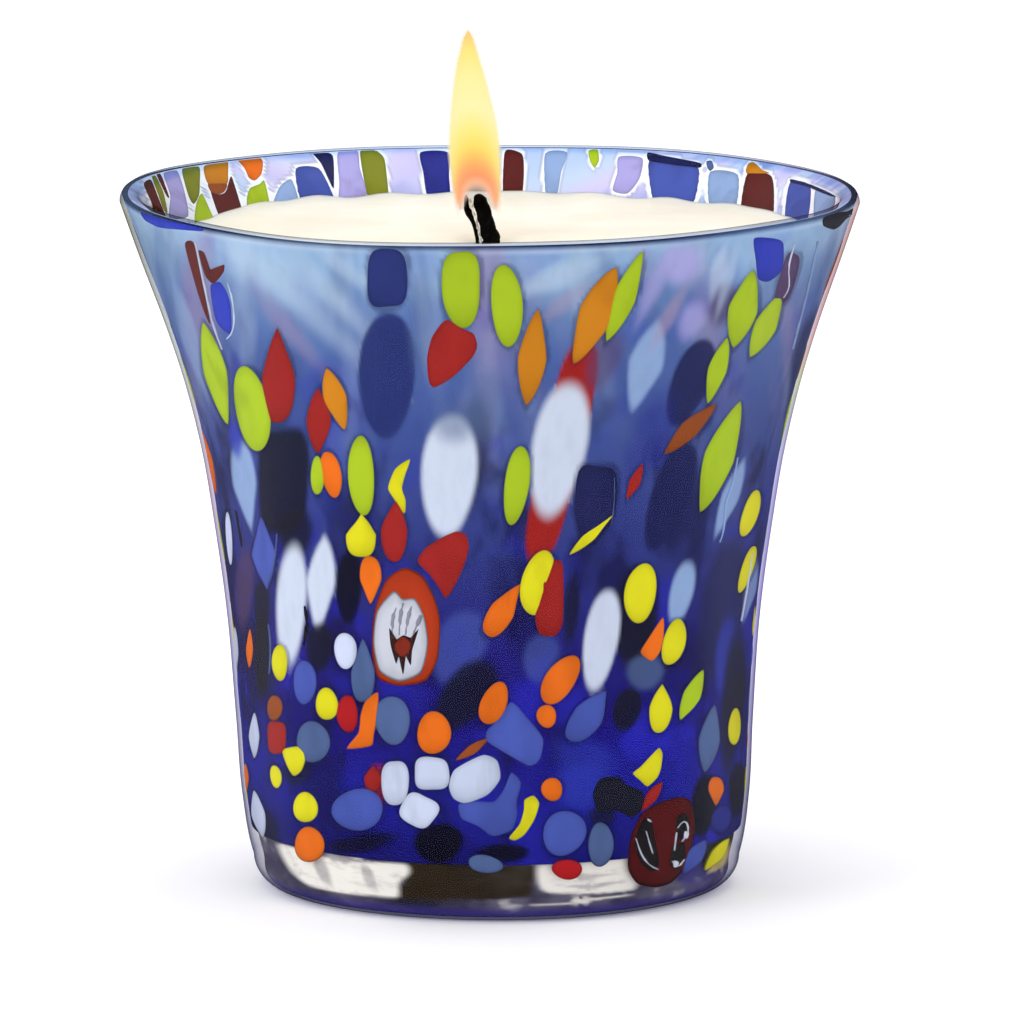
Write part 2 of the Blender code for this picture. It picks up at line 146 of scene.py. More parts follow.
# Crisp chips of the front: paint, across, up, width and length in millimetres, lean to the right in
# degrees, and outline.
FRONT_CHIPS = (
    ("lime", -36.0, 67.2, 3.0, 14.0, -13, LEAF), ("lime", -31.2, 62.4, 4.5, 11.0, -10, OVAL),
    ("red", -27.8, 66.7, 4.1, 12.8, -1, DROP), ("red", -22.6, 60.8, 3.1, 8.8, 0, LEAF),
    ("ochre", -20.4, 63.8, 3.0, 8.4, -16, LEAF), ("royal", -13.6, 79.6, 5.0, 7.8, 0, BLOCK),
    ("lime", -4.0, 78.1, 5.0, 9.8, 0, (3.4, 2.1)), ("lime", 1.9, 76.0, 4.2, 10.5, -4, OVAL),
    ("ochre", 5.2, 69.0, 3.7, 12.8, 7, LEAF), ("lime", 17.2, 77.0, 3.0, 13.0, 22, LEAF),
    ("ochre", 13.5, 74.8, 4.6, 13.6, 24, LEAF), ("lime", 29.4, 67.5, 2.4, 9.2, 16, LEAF),
    ("rust", 25.8, 59.7, 2.4, 9.4, 46, LEAF), ("lime", 32.7, 75.4, 3.8, 10.4, 14, LEAF),
    ("lime", 35.6, 73.3, 2.8, 9.6, 26, LEAF), ("plum", 38.4, 79.6, 2.0, 6.8, 16, BLOCK),
    ("lime", -22.7, 53.6, 1.7, 5.2, 0, OVAL), ("orange", -20.9, 53.8, 2.5, 6.3, -12, OVAL),
    ("lime", -17.0, 53.6, 3.4, 10.4, -4, OVAL), ("yellow", -17.0, 45.8, 3.8, 5.8, 0, (1.0, 3.0)),
    ("orange", -15.8, 39.9, 2.8, 6.2, 0, DRIP), ("periwinkle", -29.7, 43.2, 3.2, 10.0, -4, KITE),
    ("red", -12.7, 46.4, 3.4, 8.2, 4, DROP), ("lime", 3.2, 52.4, 3.3, 10.2, 8, OVAL),
    ("navy", 13.4, 50.0, 5.2, 10.0, 4, (4.5, 2.0)), ("yellow", 12.9, 45.8, 1.4, 8.0, 47, LEAF),
    ("yellow", 6.0, 39.4, 4.3, 8.8, 14, OVAL), ("orange", 1.4, 35.8, 3.2, 8.0, 33, DROP),
    ("red", 18.6, 52.8, 1.4, 5.2, 24, LEAF), ("lime", 29.7, 56.0, 3.9, 15.6, 20, LEAF),
    ("yellow", 33.7, 48.6, 2.1, 6.2, 18, OVAL), ("yellow", 33.3, 41.3, 1.5, 6.6, 18, OVAL),
    ("yellow", 19.3, 38.1, 4.1, 7.9, 6, OVAL), ("yellow", 23.7, 31.6, 2.8, 6.4, 14, OVAL),
    ("yellow", -27.8, 28.9, 2.1, 4.7, 0, OVAL), ("periwinkle", -24.5, 26.3, 3.1, 5.6, 0, OVAL),
    ("white", -19.1, 30.5, 3.0, 4.7, 0, OVAL), ("slate", -16.8, 27.8, 3.1, 8.2, 0, DROP),
    ("yellow", -21.6, 23.4, 2.9, 4.3, 0, OVAL), ("crimson", -18.9, 22.1, 2.8, 4.8, 0, OVAL),
    ("slate", -13.0, 21.3, 4.6, 6.4, 0, OVAL), ("rust", -28.4, 22.9, 1.9, 3.4, 0, OVAL),
    ("red", -28.1, 19.0, 2.4, 4.2, 0, BLOCK), ("slate", -23.4, 18.4, 4.2, 5.6, 0, OVAL),
    ("yellow", -28.2, 13.8, 1.4, 3.1, -8, OVAL), ("yellow", -24.4, 9.7, 3.1, 4.1, 0, OVAL),
    ("orange", -23.9, 4.8, 3.7, 4.7, 0, OVAL), ("periwinkle", -17.6, 9.4, 6.6, 5.6, 0, OVAL),
    ("red", -15.6, 13.6, 2.2, 3.4, 0, DROP), ("white", -12.7, 13.0, 3.5, 6.0, 0, (2.6, 2.6)),
    ("white", -7.9, 14.2, 4.4, 4.4, 0, BLOCK), ("white", -9.6, 9.3, 4.6, 4.2, 30, BLOCK),
    ("white", -31.0, 19.2, 1.4, 6.0, 0, LEAF), ("white", -30.5, 8.8, 1.8, 6.4, -10, LEAF),
    ("orange", 8.9, 26.6, 3.9, 7.2, 32, OVAL), ("orange", 7.1, 21.8, 2.6, 3.0, 0, OVAL),
    ("periwinkle", 12.6, 21.9, 3.8, 8.4, 36, DROP), ("orange", 0.2, 23.5, 3.4, 5.8, 20, OVAL),
    ("orange", -7.6, 19.6, 4.5, 5.5, 0, OVAL), ("rust", -2.6, 17.4, 1.3, 5.0, 56, LEAF),
    ("orange", 7.8, 12.1, 2.8, 3.0, 0, OVAL), ("periwinkle", 9.4, 6.3, 5.4, 6.2, 20, OVAL),
    ("slate", 14.2, 4.8, 3.4, 5.6, 0, OVAL), ("crimson", 9.8, 1.5, 3.8, 2.6, 0, OVAL),
    ("yellow", 22.0, 22.9, 2.9, 6.6, 4, DROP), ("lime", 26.0, 24.6, 2.2, 7.4, 24, LEAF),
    ("slate", 28.3, 18.7, 2.7, 9.2, 8, LEAF), ("yellow", 31.6, 20.4, 1.6, 5.0, 4, OVAL),
    ("red", 20.9, 11.2, 1.5, 4.6, 35, LEAF), ("orange", 29.2, 11.9, 2.0, 3.7, 0, DRIP),
    ("indigo", 29.9, 8.2, 2.4, 3.6, 8, OVAL), ("yellow", 29.4, 3.5, 1.6, 5.0, 36, LEAF),
    ("periwinkle", 26.5, 3.2, 2.1, 5.4, 32, LEAF), ("orange", -31.7, 30.7, 0.9, 5.0, 0, LEAF),
    ("orange", -32.2, 13.6, 0.9, 4.0, 0, LEAF), ("white", -33.6, 30.0, 1.0, 7.6, 0, LEAF),
    ("orange", -37.0, 55.4, 0.9, 9.0, -12, LEAF), ("white", -34.4, 45.4, 0.8, 7.0, -4, OVAL),
    ("slate", -0.9, 2.2, 4.4, 2.4, 10, OVAL),
)

# Chips with outlines of their own: paint, middle, then points round the outline.
SHAPED_CHIPS = (
    ("maroon", (-38.2, 79.0), ((-40.1, 84.2), (-38.9, 84.5), (-38.0, 80.5), (-36.5, 73.4), (-37.4, 75.0),
        (-38.7, 79.0))),
    ("maroon", (-36.8, 80.6), ((-38.3, 83.2), (-37.5, 83.0), (-36.7, 80.8), (-36.1, 80.2), (-34.8, 81.4),
        (-34.9, 80.3), (-36.2, 78.8), (-37.4, 79.9))),
    ("azure", (-35.1, 76.3), ((-36.7, 78.7), (-35.5, 79.2), (-34.6, 78.0), (-34.0, 76.3), (-33.8, 74.0),
        (-33.9, 72.0), (-35.1, 72.8), (-35.9, 73.9), (-36.4, 76.0))),
    ("red", (-5.2, 69.8), ((-6.0, 74.3), (-3.6, 73.0), (-2.3, 72.4), (-1.8, 70.8), (-2.4, 69.2),
        (-5.0, 66.5), (-7.6, 65.0), (-8.4, 66.0), (-8.6, 69.0), (-7.9, 72.0))),
    ("red", (7.4, 37.2), ((5.6, 42.0), (9.0, 42.6), (9.4, 40.0), (9.3, 34.0), (8.2, 32.2), (6.2, 32.4),
        (5.5, 35.0))),
    ("yellow", (-12.2, 52.8), ((-10.6, 55.9), (-12.6, 54.6), (-13.6, 52.0), (-12.9, 50.6), (-11.4, 48.4),
        (-11.2, 50.2), (-11.7, 51.8), (-11.3, 53.6))),
    ("orange", (-16.4, 19.9), ((-14.8, 25.2), (-14.9, 22.0), (-15.4, 19.4), (-15.8, 17.8), (-19.1, 17.4),
        (-17.5, 19.6), (-17.2, 22.0), (-16.5, 24.0))),
    ("yellow", (-25.8, 15.9), ((-27.4, 17.4), (-25.2, 17.9), (-24.1, 17.2), (-24.8, 14.6), (-25.9, 13.8),
        (-26.8, 15.2))),
    ("periwinkle", (3.1, 19.4), ((2.5, 23.9), (4.8, 21.5), (6.8, 18.8), (6.4, 16.0), (5.0, 15.0),
        (3.0, 16.0), (0.5, 17.5), (-1.0, 18.6), (-0.8, 20.0), (0.8, 21.6))),
    ("white", (-2.4, 13.5), ((-5.8, 12.5), (-5.0, 14.8), (-1.2, 16.8), (0.8, 16.0), (1.2, 13.5),
        (-0.5, 11.3), (-3.5, 10.1), (-5.2, 10.8))),
    ("periwinkle", (0.6, 8.4), ((-4.6, 10.2), (-4.2, 8.2), (-2.0, 7.2), (0.0, 5.8), (2.6, 6.6), (3.4, 8.8),
        (3.3, 10.6), (3.9, 13.2), (2.6, 14.6), (1.6, 12.4), (0.2, 10.6), (-2.2, 10.6))),
    ("yellow", (4.6, 8.4), ((5.4, 11.4), (6.2, 10.3), (5.5, 8.0), (4.2, 6.0), (2.9, 5.2), (2.1, 5.6),
        (3.5, 7.4), (4.1, 9.4), (4.2, 10.8))),
    ("yellow", (20.4, 14.7), ((21.8, 17.7), (22.3, 16.9), (22.1, 14.9), (21.6, 13.6), (20.3, 12.4),
        (19.3, 13.2), (18.3, 14.2), (19.3, 15.1), (20.5, 16.4))),
    ("orange", (21.2, 31.7), ((22.3, 35.0), (22.4, 32.4), (21.9, 30.2), (20.8, 29.0), (19.3, 30.2),
        (20.4, 32.2))),
    ("red", (-6.2, 42.6), ((-9.9, 42.3), (-8.8, 44.1), (-6.5, 45.6), (-4.5, 46.4), (-3.2, 45.8),
        (-2.9, 44.1), (-3.4, 42.1), (-4.5, 39.5), (-6.0, 37.2), (-7.1, 38.8), (-8.4, 40.6))),
    ("dark", (16.4, 11.2), ((13.0, 11.4), (14.0, 13.6), (16.4, 13.9), (17.6, 12.8), (19.8, 11.8),
        (19.9, 9.6), (18.4, 8.2), (16.2, 9.2), (13.8, 9.0))),
    ("azure", (-42.0, 86.7), ((-45.9, 88.3), (-44.4, 87.8), (-42.6, 87.2), (-40.6, 86.8), (-37.6, 86.2),
        (-37.6, 85.7), (-40.8, 85.9), (-43.4, 86.2), (-45.3, 87.2))),
    ("dark", (44.9, 87.3), ((42.9, 86.4), (42.9, 87.5), (44.3, 88.2), (46.0, 88.4), (46.9, 88.8),
        (47.1, 88.1), (46.0, 87.4), (45.1, 86.4), (44.2, 85.9))),
    ("azure", (36.1, 82.0), ((34.1, 84.9), (36.8, 84.9), (38.0, 84.2), (37.8, 80.6), (36.0, 79.0),
        (34.6, 79.4), (34.3, 82.0))),
)

# Thin drawn threads: paint, width, then points along them.
THREADS = (
    ("white", 0.32, ((-38.6, 84.4), (-37.8, 80.4), (-36.2, 73.4), (-35.0, 70.2))),
    ("white", 0.24, ((-34.4, 79.0), (-33.6, 76.4), (-33.4, 72.4), (-34.4, 71.6))),
    # The white thread at the upper right is a painted highlight: a streak of light on the glass near the
    # lip.
    ("white", 0.3, ((39.3, 84.2), (38.2, 80.2), (38.9, 78.5), (37.8, 77.0))),
    ("pale", 0.34, ((42.2, 84.4), (40.8, 77.4), (39.0, 70.2))),
    ("black", 0.3, ((-33.4, 49.0), (-33.0, 46.6), (-32.6, 44.2))),
    ("slate", 0.16, ((15.9, 53.4), (15.9, 50.0), (15.5, 47.2))),
    ("pale", 0.3, ((32.0, 56.0), (31.4, 52.6), (30.4, 50.2), (30.2, 46.2), (29.6, 44.8))),
    ("slate", 0.2, ((-27.9, 46.0), (-28.1, 43.0), (-29.2, 39.2))),
    ("slate", 0.2, ((-29.2, 34.0), (-28.9, 31.0), (-29.1, 27.4))),
    ("white", 0.3, ((33.9, 43.4), (33.2, 38.4), (32.4, 34.4))),
    ("black", 0.6, ((-24.4, 36.4), (-24.0, 33.8), (-24.6, 31.2))),
)

# Blurred patches under them: the same columns as the crisp chips, then how soft the edge is and how strong
# the colour.
SOFT_PATCHES = (
    ("streak", -28.0, 80.4, 4.4, 18.0, -62, OVAL, 0.9, 0.42),
    ("streak", -24.4, 75.4, 2.6, 20.0, -50, OVAL, 0.9, 0.36),
    ("streak", -20.6, 77.2, 2.0, 15.0, -42, OVAL, 0.9, 0.34),
    ("rose", -27.0, 73.6, 2.2, 12.0, -40, OVAL, 0.8, 0.35),
    ("streak", -18.6, 80.4, 1.8, 9.0, -52, OVAL, 0.8, 0.4),
    ("streak", 8.6, 79.8, 3.0, 12.0, 66, LEAF, 0.6, 0.55),
    ("royal", -13.7, 67.0, 7.5, 16.6, 0, OVAL, 0.07, 0.97),
    ("pale", -39.4, 72.0, 2.2, 16.0, -16, LEAF, 0.3, 0.5),
    ("red", 9.0, 56.9, 5.2, 29.0, 12, BLOCK, 0.06, 1.0),
    ("white", 8.7, 57.2, 7.0, 17.6, 9, OVAL, 0.15, 1.0),
    ("pale", 20.0, 68.3, 4.4, 12.4, 16, LEAF, 0.16, 0.9),
    ("navy", 25.8, 66.0, 4.8, 12.2, 20, OVAL, 0.08, 0.95),
    ("navy", 41.0, 70.0, 3.2, 12.0, 16, OVAL, 0.3, 0.8),
    ("lilac", 24.6, 81.4, 5.0, 5.0, 0, OVAL, 0.5, 0.8),
    ("lilac", 26.0, 74.0, 3.0, 5.0, 20, OVAL, 0.5, 0.6),
    ("plum", 30.0, 76.2, 3.4, 5.6, 16, OVAL, 0.4, 0.75),
    ("plum", 14.6, 69.0, 4.0, 8.0, 20, OVAL, 0.4, 0.6),
    ("pale", -32.2, 52.4, 3.0, 11.5, -8, DRIP, 0.16, 0.95),
    ("dark", -27.2, 53.0, 6.6, 14.0, 0, BLOCK, 0.12, 0.95),
    ("dark", -25.6, 46.0, 4.4, 6.4, 0, OVAL, 0.3, 0.9),
    ("white", -26.2, 36.7, 3.8, 15.6, 2, OVAL, 0.18, 1.0),
    ("white", -22.3, 39.6, 3.7, 12.4, 4, LEAF, 0.16, 1.0),
    ("black", -18.7, 39.0, 3.4, 10.0, 0, OVAL, 0.16, 0.95),
    ("dark", -30.0, 36.0, 2.1, 8.0, 0, OVAL, 0.2, 0.9),
    ("plum", -32.3, 39.0, 2.2, 10.0, 2, OVAL, 0.3, 0.7),
    ("azure", -33.4, 58.6, 1.6, 5.0, -8, OVAL, 0.4, 0.8),
    ("dark", -2.4, 56.4, 4.0, 14.0, 4, OVAL, 0.4, 0.7),
    ("white", -5.6, 53.8, 7.2, 16.0, 2, OVAL, 0.12, 1.0),
    ("slate", -4.8, 60.6, 5.4, 5.0, 0, OVAL, 0.6, 0.6),
    ("navy", 23.2, 51.0, 4.9, 15.2, 18, OVAL, 0.08, 0.97),
    ("pale", 31.0, 50.8, 2.2, 10.8, 20, LEAF, 0.2, 0.85),
    ("pale", 33.6, 38.5, 1.6, 8.6, 12, LEAF, 0.2, 0.7),
    ("dark", 18.6, 35.0, 5.8, 13.0, 4, OVAL, 0.18, 0.93),
    ("white", 14.2, 32.0, 4.4, 13.4, 8, OVAL, 0.12, 1.0),
    ("pale", 24.7, 38.2, 2.9, 8.4, 12, OVAL, 0.2, 0.97),
    ("navy", 30.0, 36.0, 5.6, 19.0, 8, OVAL, 0.2, 0.85),
    ("azure", 30.5, 30.0, 2.6, 9.6, 6, OVAL, 0.3, 0.55),
    ("dark", -22.5, 31.0, 3.4, 6.4, 0, OVAL, 0.2, 0.92),
    ("dark", -30.0, 30.0, 2.1, 11.0, 0, OVAL, 0.14, 0.95),
    ("dark", -25.6, 14.6, 3.6, 4.0, 0, OVAL, 0.3, 0.8), ("red", -15.0, 12.7, 3.0, 5.2, 0, OVAL, 0.3, 0.9),
    ("periwinkle", -4.3, 31.0, 6.5, 10.0, 20, OVAL, 0.2, 0.5),
    ("dark", -3.4, 24.6, 6.2, 11.0, 35, OVAL, 0.2, 0.93),
    ("periwinkle", 6.4, 29.6, 4.6, 6.4, 8, OVAL, 0.25, 0.5),
    ("dark", 17.6, 22.7, 3.7, 5.8, 12, OVAL, 0.14, 0.95),
    ("slate", 20.0, 27.7, 4.7, 4.5, 0, OVAL, 0.3, 0.7), ("dark", 31.5, 24.0, 3.0, 20.0, 4, OVAL, 0.3, 0.9),
    ("black", 27.6, 10.0, 3.2, 8.6, 4, OVAL, 0.16, 0.97),
    ("black", 32.0, 12.2, 2.2, 7.4, 2, OVAL, 0.2, 0.9),
    ("black", -7.0, 5.0, 6.5, 5.4, 0, OVAL, 0.14, 0.97),
    ("black", 1.4, 3.6, 7.0, 2.6, 0, OVAL, 0.25, 0.95),
    ("black", -17.0, 5.0, 9.0, 2.4, -8, OVAL, 0.4, 0.85),
    ("dark", -29.6, 6.0, 3.4, 7.0, -6, OVAL, 0.35, 0.8), ("dark", 14.4, 8.6, 3.6, 3.0, 0, OVAL, 0.3, 0.85),
    ("azure", 11.6, 12.6, 6.6, 5.6, 0, OVAL, 0.5, 0.6),
    ("azure", 12.0, 16.4, 8.0, 4.6, 20, OVAL, 0.5, 0.4),
    ("azure", -21.0, 56.0, 3.4, 14.0, 0, OVAL, 0.5, 0.35),
    ("indigo", 20.4, 58.6, 4.6, 12.0, 18, OVAL, 0.5, 0.5),
    ("slate", -9.4, 73.6, 3.0, 12.0, 0, OVAL, 0.5, 0.5),
    ("slate", -1.0, 62.6, 3.6, 9.0, 4, OVAL, 0.5, 0.5),
    ("dark", 10.4, 36.4, 2.0, 10.0, 4, OVAL, 0.4, 0.85), ("rose", 9.4, 76.4, 2.2, 8.0, 50, LEAF, 0.6, 0.4),
    ("lilac", 21.0, 78.4, 2.2, 10.0, 24, LEAF, 0.6, 0.5),
    ("rose", 23.0, 74.6, 1.8, 9.0, 28, LEAF, 0.6, 0.5),
    ("streak", 30.6, 79.4, 1.4, 9.0, 16, LEAF, 0.6, 0.5),
    ("indigo", -33.0, 66.4, 2.0, 8.0, -12, LEAF, 0.4, 0.6),
    ("white", 29.4, 80.4, 2.0, 7.0, 14, LEAF, 0.5, 0.45),
)

# Chips and panels of the rear wall that show above the wax: paint, middle, then points round the outline.
REAR_CHIPS = (
    ("maroon", (-43.8, 89.9), ((-45.3, 92.0), (-44.3, 92.6), (-43.4, 90.4), (-42.3, 87.4), (-43.5, 87.4),
        (-44.3, 89.6))),
    ("olive", (-43.1, 90.6), ((-44.2, 92.9), (-43.7, 93.1), (-42.7, 91.0), (-42.1, 88.2), (-42.6, 88.4),
        (-43.4, 90.6))),
    ("maroon", (-42.7, 91.7), ((-43.6, 93.2), (-43.0, 93.2), (-41.9, 90.2), (-42.3, 90.4))),
    ("lilac", (-41.2, 91.0), ((-42.7, 93.4), (-40.9, 93.8), (-39.9, 91.0), (-39.4, 87.6), (-41.9, 87.4),
        (-41.8, 90.4))),
    ("olive", (-39.0, 92.2), ((-40.3, 94.0), (-38.0, 94.3), (-37.9, 92.0), (-38.0, 90.4), (-38.7, 89.2),
        (-39.4, 90.2))),
    ("lime", (-37.4, 88.3), ((-37.7, 90.8), (-36.8, 89.0), (-35.7, 86.0), (-38.3, 85.8), (-38.7, 87.4),
        (-38.4, 89.6))),
    ("ochre", (-35.8, 93.2), ((-37.5, 94.2), (-35.8, 94.9), (-34.3, 95.2), (-34.2, 93.2), (-34.4, 91.9),
        (-36.9, 91.9))),
    ("rust", (-35.6, 91.5), ((-36.9, 92.0), (-34.4, 92.0), (-34.7, 90.9), (-35.6, 90.5), (-36.5, 90.8))),
    ("maroon", (-34.6, 89.4), ((-36.6, 91.0), (-35.6, 90.6), (-34.6, 91.0), (-33.9, 93.1), (-33.4, 92.0),
        (-32.2, 87.8), (-33.1, 87.4), (-34.1, 87.0), (-34.9, 86.6), (-35.8, 88.4))),
    ("orange", (-31.1, 94.2), ((-33.4, 95.6), (-30.7, 95.9), (-29.7, 94.9), (-29.9, 93.2), (-30.8, 92.3),
        (-31.6, 92.7), (-32.2, 94.0))),
    ("lime", (-30.4, 90.0), ((-31.5, 91.4), (-30.2, 92.0), (-29.5, 92.4), (-28.8, 88.8), (-30.4, 88.4),
        (-31.8, 87.9), (-31.9, 90.0))),
    ("pale", (-26.7, 90.6), ((-28.5, 88.8), (-27.6, 91.6), (-26.0, 92.6), (-25.1, 89.2))),
    ("periwinkle", (-23.0, 91.8), ((-25.6, 94.0), (-22.5, 94.1), (-20.7, 90.8), (-20.4, 89.0),
        (-24.7, 89.2))),
    ("navy", (-21.8, 95.4), ((-23.9, 96.6), (-22.4, 96.3), (-20.6, 95.6), (-20.5, 91.2), (-21.3, 92.6),
        (-22.3, 94.7))),
    ("lilac", (-18.3, 93.2), ((-20.1, 96.2), (-17.5, 96.6), (-17.1, 94.0), (-16.2, 90.2), (-19.8, 89.6),
        (-19.9, 92.0))),
    ("olive", (-15.2, 93.2), ((-17.2, 96.4), (-15.6, 96.8), (-14.0, 95.5), (-13.6, 93.0), (-13.5, 89.9),
        (-16.0, 89.8), (-16.8, 93.0))),
    ("indigo", (-7.3, 93.2), ((-9.4, 96.2), (-5.6, 96.2), (-5.5, 93.0), (-5.5, 90.2), (-8.4, 90.2),
        (-9.0, 93.4))),
    ("maroon", (2.8, 93.4), ((1.5, 95.8), (2.2, 96.6), (4.0, 95.9), (4.2, 93.2), (3.8, 90.2), (1.4, 90.2))),
    ("pale", (8.6, 93.4), ((6.8, 96.0), (9.8, 96.2), (9.0, 93.6), (8.4, 90.4), (6.9, 90.4))),
    ("lime", (13.2, 95.3), ((12.5, 96.3), (13.7, 96.5), (13.9, 95.0), (13.3, 94.0), (12.7, 94.9))),
    ("lilac", (17.4, 93.0), ((16.4, 95.6), (19.6, 95.4), (19.2, 92.6), (17.6, 90.6), (15.6, 91.0),
        (16.2, 93.4))),
    ("periwinkle", (23.4, 92.4), ((20.2, 95.0), (23.6, 94.5), (27.0, 94.0), (26.2, 89.3), (22.4, 89.7),
        (20.7, 90.0))),
    ("navy", (23.4, 95.0), ((20.1, 96.1), (22.6, 95.6), (27.1, 94.7), (27.0, 94.0), (23.6, 94.4),
        (20.3, 94.9))),
    ("slate", (28.3, 94.3), ((27.8, 94.9), (28.5, 95.0), (28.8, 94.1), (28.3, 93.6), (27.9, 94.1))),
    ("pale", (30.0, 91.6), ((28.2, 93.6), (32.0, 93.2), (31.6, 88.6), (28.2, 89.0))),
    ("maroon", (34.6, 90.8), ((33.1, 93.5), (36.2, 93.2), (36.7, 91.0), (36.5, 87.3), (34.5, 88.0),
        (32.2, 88.4))),
    ("ochre", (34.0, 94.0), ((33.0, 93.3), (33.2, 94.6), (34.0, 94.8), (35.1, 93.8), (36.1, 93.3))),
    ("periwinkle", (39.8, 89.6), ((38.6, 92.2), (41.4, 91.7), (40.8, 86.4), (38.0, 86.8))),
    ("navy", (40.2, 92.0), ((38.8, 92.6), (41.6, 91.8), (44.6, 90.4), (44.4, 90.1), (41.5, 91.4),
        (38.8, 92.1))),
    ("pale", (43.2, 89.4), ((42.0, 91.4), (44.6, 90.2), (43.8, 87.4), (41.8, 87.0))),
)

# Painted reflections in the clear base, for the backdrop and the dark surroundings seen through it: paint,
# how soft, how strong, the middle, then points round the outline.
BASE_REFLECTIONS = (
    ("mauve", 0.3, 0.7, (-29.6, 2.4), ((-32.0, 5.6), (-28.2, 4.6), (-27.2, 1.6), (-28.4, -1.0),
        (-31.6, 0.6))),
    ("olive_dark", 0.1, 0.96, (-3.2, 0.0), ((-11.8, 2.3), (5.2, 2.3), (5.6, 0.0), (4.6, -2.2), (-4.0, -2.5),
        (-12.0, -2.3), (-11.4, 0.0))),
    ("cream", 0.08, 0.97, (-18.8, 0.7), ((-27.8, 4.8), (-22.0, 3.3), (-16.0, 2.5), (-11.4, 2.2),
        (-10.9, 1.0), (-12.2, -0.4), (-12.4, -2.2), (-16.0, -2.0), (-20.0, -1.6), (-24.0, -0.6),
        (-26.4, 1.4))),
    ("cream", 0.1, 0.95, (12.6, 0.4), ((6.3, 2.2), (12.0, 2.5), (18.4, 3.0), (19.2, 1.2), (18.4, -1.2),
        (12.0, -1.7), (7.2, -1.6), (6.0, 0.0))),
    ("grey_streak", 0.4, 0.7, (-22.4, 1.4), ((-23.6, 3.2), (-21.8, 2.2), (-21.0, -0.6), (-22.4, 0.2))),
    ("grey_streak", 0.4, 0.6, (-16.2, 0.6), ((-17.2, 2.2), (-16.0, 1.6), (-15.0, -1.2), (-16.4, -0.6))),
    ("grey_streak", 0.3, 0.8, (-20.0, 3.0), ((-26.4, 4.8), (-20.0, 3.1), (-12.0, 2.3), (-20.0, 2.7))),
    ("grey_streak", 0.4, 0.6, (11.6, 0.4), ((8.0, 1.4), (12.0, 0.8), (16.4, 1.0), (12.0, 0.2))),
    ("grey_streak", 0.4, 0.6, (12.6, -0.8), ((8.6, -0.6), (13.0, -0.6), (17.4, 0.0), (13.0, -1.1))),
    ("cream", 0.3, 0.8, (11.6, -2.7), ((5.0, -3.3), (11.6, -2.6), (18.4, -1.9), (11.6, -2.95))),
    ("indigo_line", 0.4, 0.8, (27.0, 0.8), ((23.6, 1.6), (27.0, 2.4), (30.4, 3.2), (30.0, 1.0),
        (25.6, -1.0))),
    ("gold", 0.4, 0.8, (29.4, 2.0), ((28.2, 1.0), (29.6, 3.4), (31.0, 4.6), (30.4, 2.2))),
)
# The painted reflections of the base lie this far inside its surface.
CORE_DEEP = 1.3 * MM             # how far inside the surface the tones of the base lie
CORE_SHALLOW = 0.35 * MM
BASE_REFLECTION_PAINTS = {
    "cream": display(236, 232, 224), "olive_dark": display(40, 31, 16), "slate_dark": display(34, 33, 46),
    "mauve": display(74, 68, 92), "grey_streak": display(150, 146, 150),
    "indigo_line": display(52, 48, 120), "gold": display(206, 186, 110),
}


# ---------------------------------------------------------------- the tumbler's outline
def station_radius(height):
    """Outer radius of the even wall: a smooth curve through the stations. Works on arrays."""
    level = np.asarray(height, dtype=float) / MM
    heights, radii = np.array(WALL_STATIONS).T
    slopes = np.gradient(radii, heights)
    index = np.clip(np.searchsorted(heights, level, side="right") - 1, 0, len(heights) - 2)
    span = heights[index + 1] - heights[index]
    t = (level - heights[index]) / span
    radius = ((2 * t**3 - 3 * t**2 + 1) * radii[index] + (t**3 - 2 * t**2 + t) * span * slopes[index]
              + (3 * t**2 - 2 * t**3) * radii[index + 1] + (t**3 - t**2) * span * slopes[index + 1])
    return radius * MM


def axis_shift(height):
    """How far the leaning axis of the wall is from the frame's axis, towards +X."""
    rise = np.clip(np.asarray(height, dtype=float) / RIM_HEIGHT, 0, 1)
    return SHIFT_AT_FOOT + (SHIFT_AT_RIM - SHIFT_AT_FOOT) * rise


def wall_wave(bearing, height):
    """Unevenness of the hand-blown wall."""
    rise = np.clip(height / RIM_HEIGHT, 0, 1)
    slow = 0.10 * np.sin(2 * bearing + 1.4) * np.sin(4.0 * rise)
    slow = slow + 0.10 * np.sin(3 * bearing - 1.1 - 3.0 * rise)
    ripples = 0.07 * np.sin(5 * bearing + 9 * rise) + 0.05 * np.sin(4 * bearing + 2.2) * np.sin(21 * rise)
    return (slow * (0.25 + 0.75 * rise) + ripples) * MM


def outer_radius(bearing, height):
    return station_radius(height) + wall_wave(bearing, height)


def lining_inset(bearing, height):
    """Depth of the lining's inner side: the wall thickens from the lip down to the wax."""
    drop = np.clip((COLOUR_TOP - height) / (COLOUR_TOP - WAX_LEVEL), 0, 1)
    swell = THICKEN * (1 - 0.2 * np.sin(bearing))
    return SKIN + COLOUR + LINING + swell * drop * (1.4 - 0.4 * drop)


def inner_radius(bearing, height):
    """Inner side of the clear glass, just inside the lining."""
    return outer_radius(bearing, height) - lining_inset(bearing, height) - LINING_GAP


def lip_lift(bearing, height):
    """How far the coloured glass follows the lip's rise and fall."""
    return lip_wave(bearing) * smoothstep(0.9, 1.0, height / COLOUR_TOP)


def round_axis(bearing, radius, height):
    """Points at a radius from the wall's own axis; any of the three may be arrays."""
    bearing, radius, height = np.broadcast_arrays(bearing, radius, height)
    across = axis_shift(height) + radius * np.sin(bearing)
    return np.stack([across, -radius * np.cos(bearing), height], axis=-1)


def on_wall(bearing, height, inset):
    """Points under the outer surface by inset, for arrays of bearings and heights."""
    points = round_axis(bearing, outer_radius(bearing, height) - inset, height)
    points[..., 2] += lip_lift(bearing, height)
    return points


def sight_line(across, up, depth):
    """x and z, at a depth y, of the sight line through (across, up) on the upright plane."""
    reach = 1 + depth / (-EYE.y)
    return EYE.x + reach * (across - EYE.x), EYE.z + reach * (up - EYE.z)


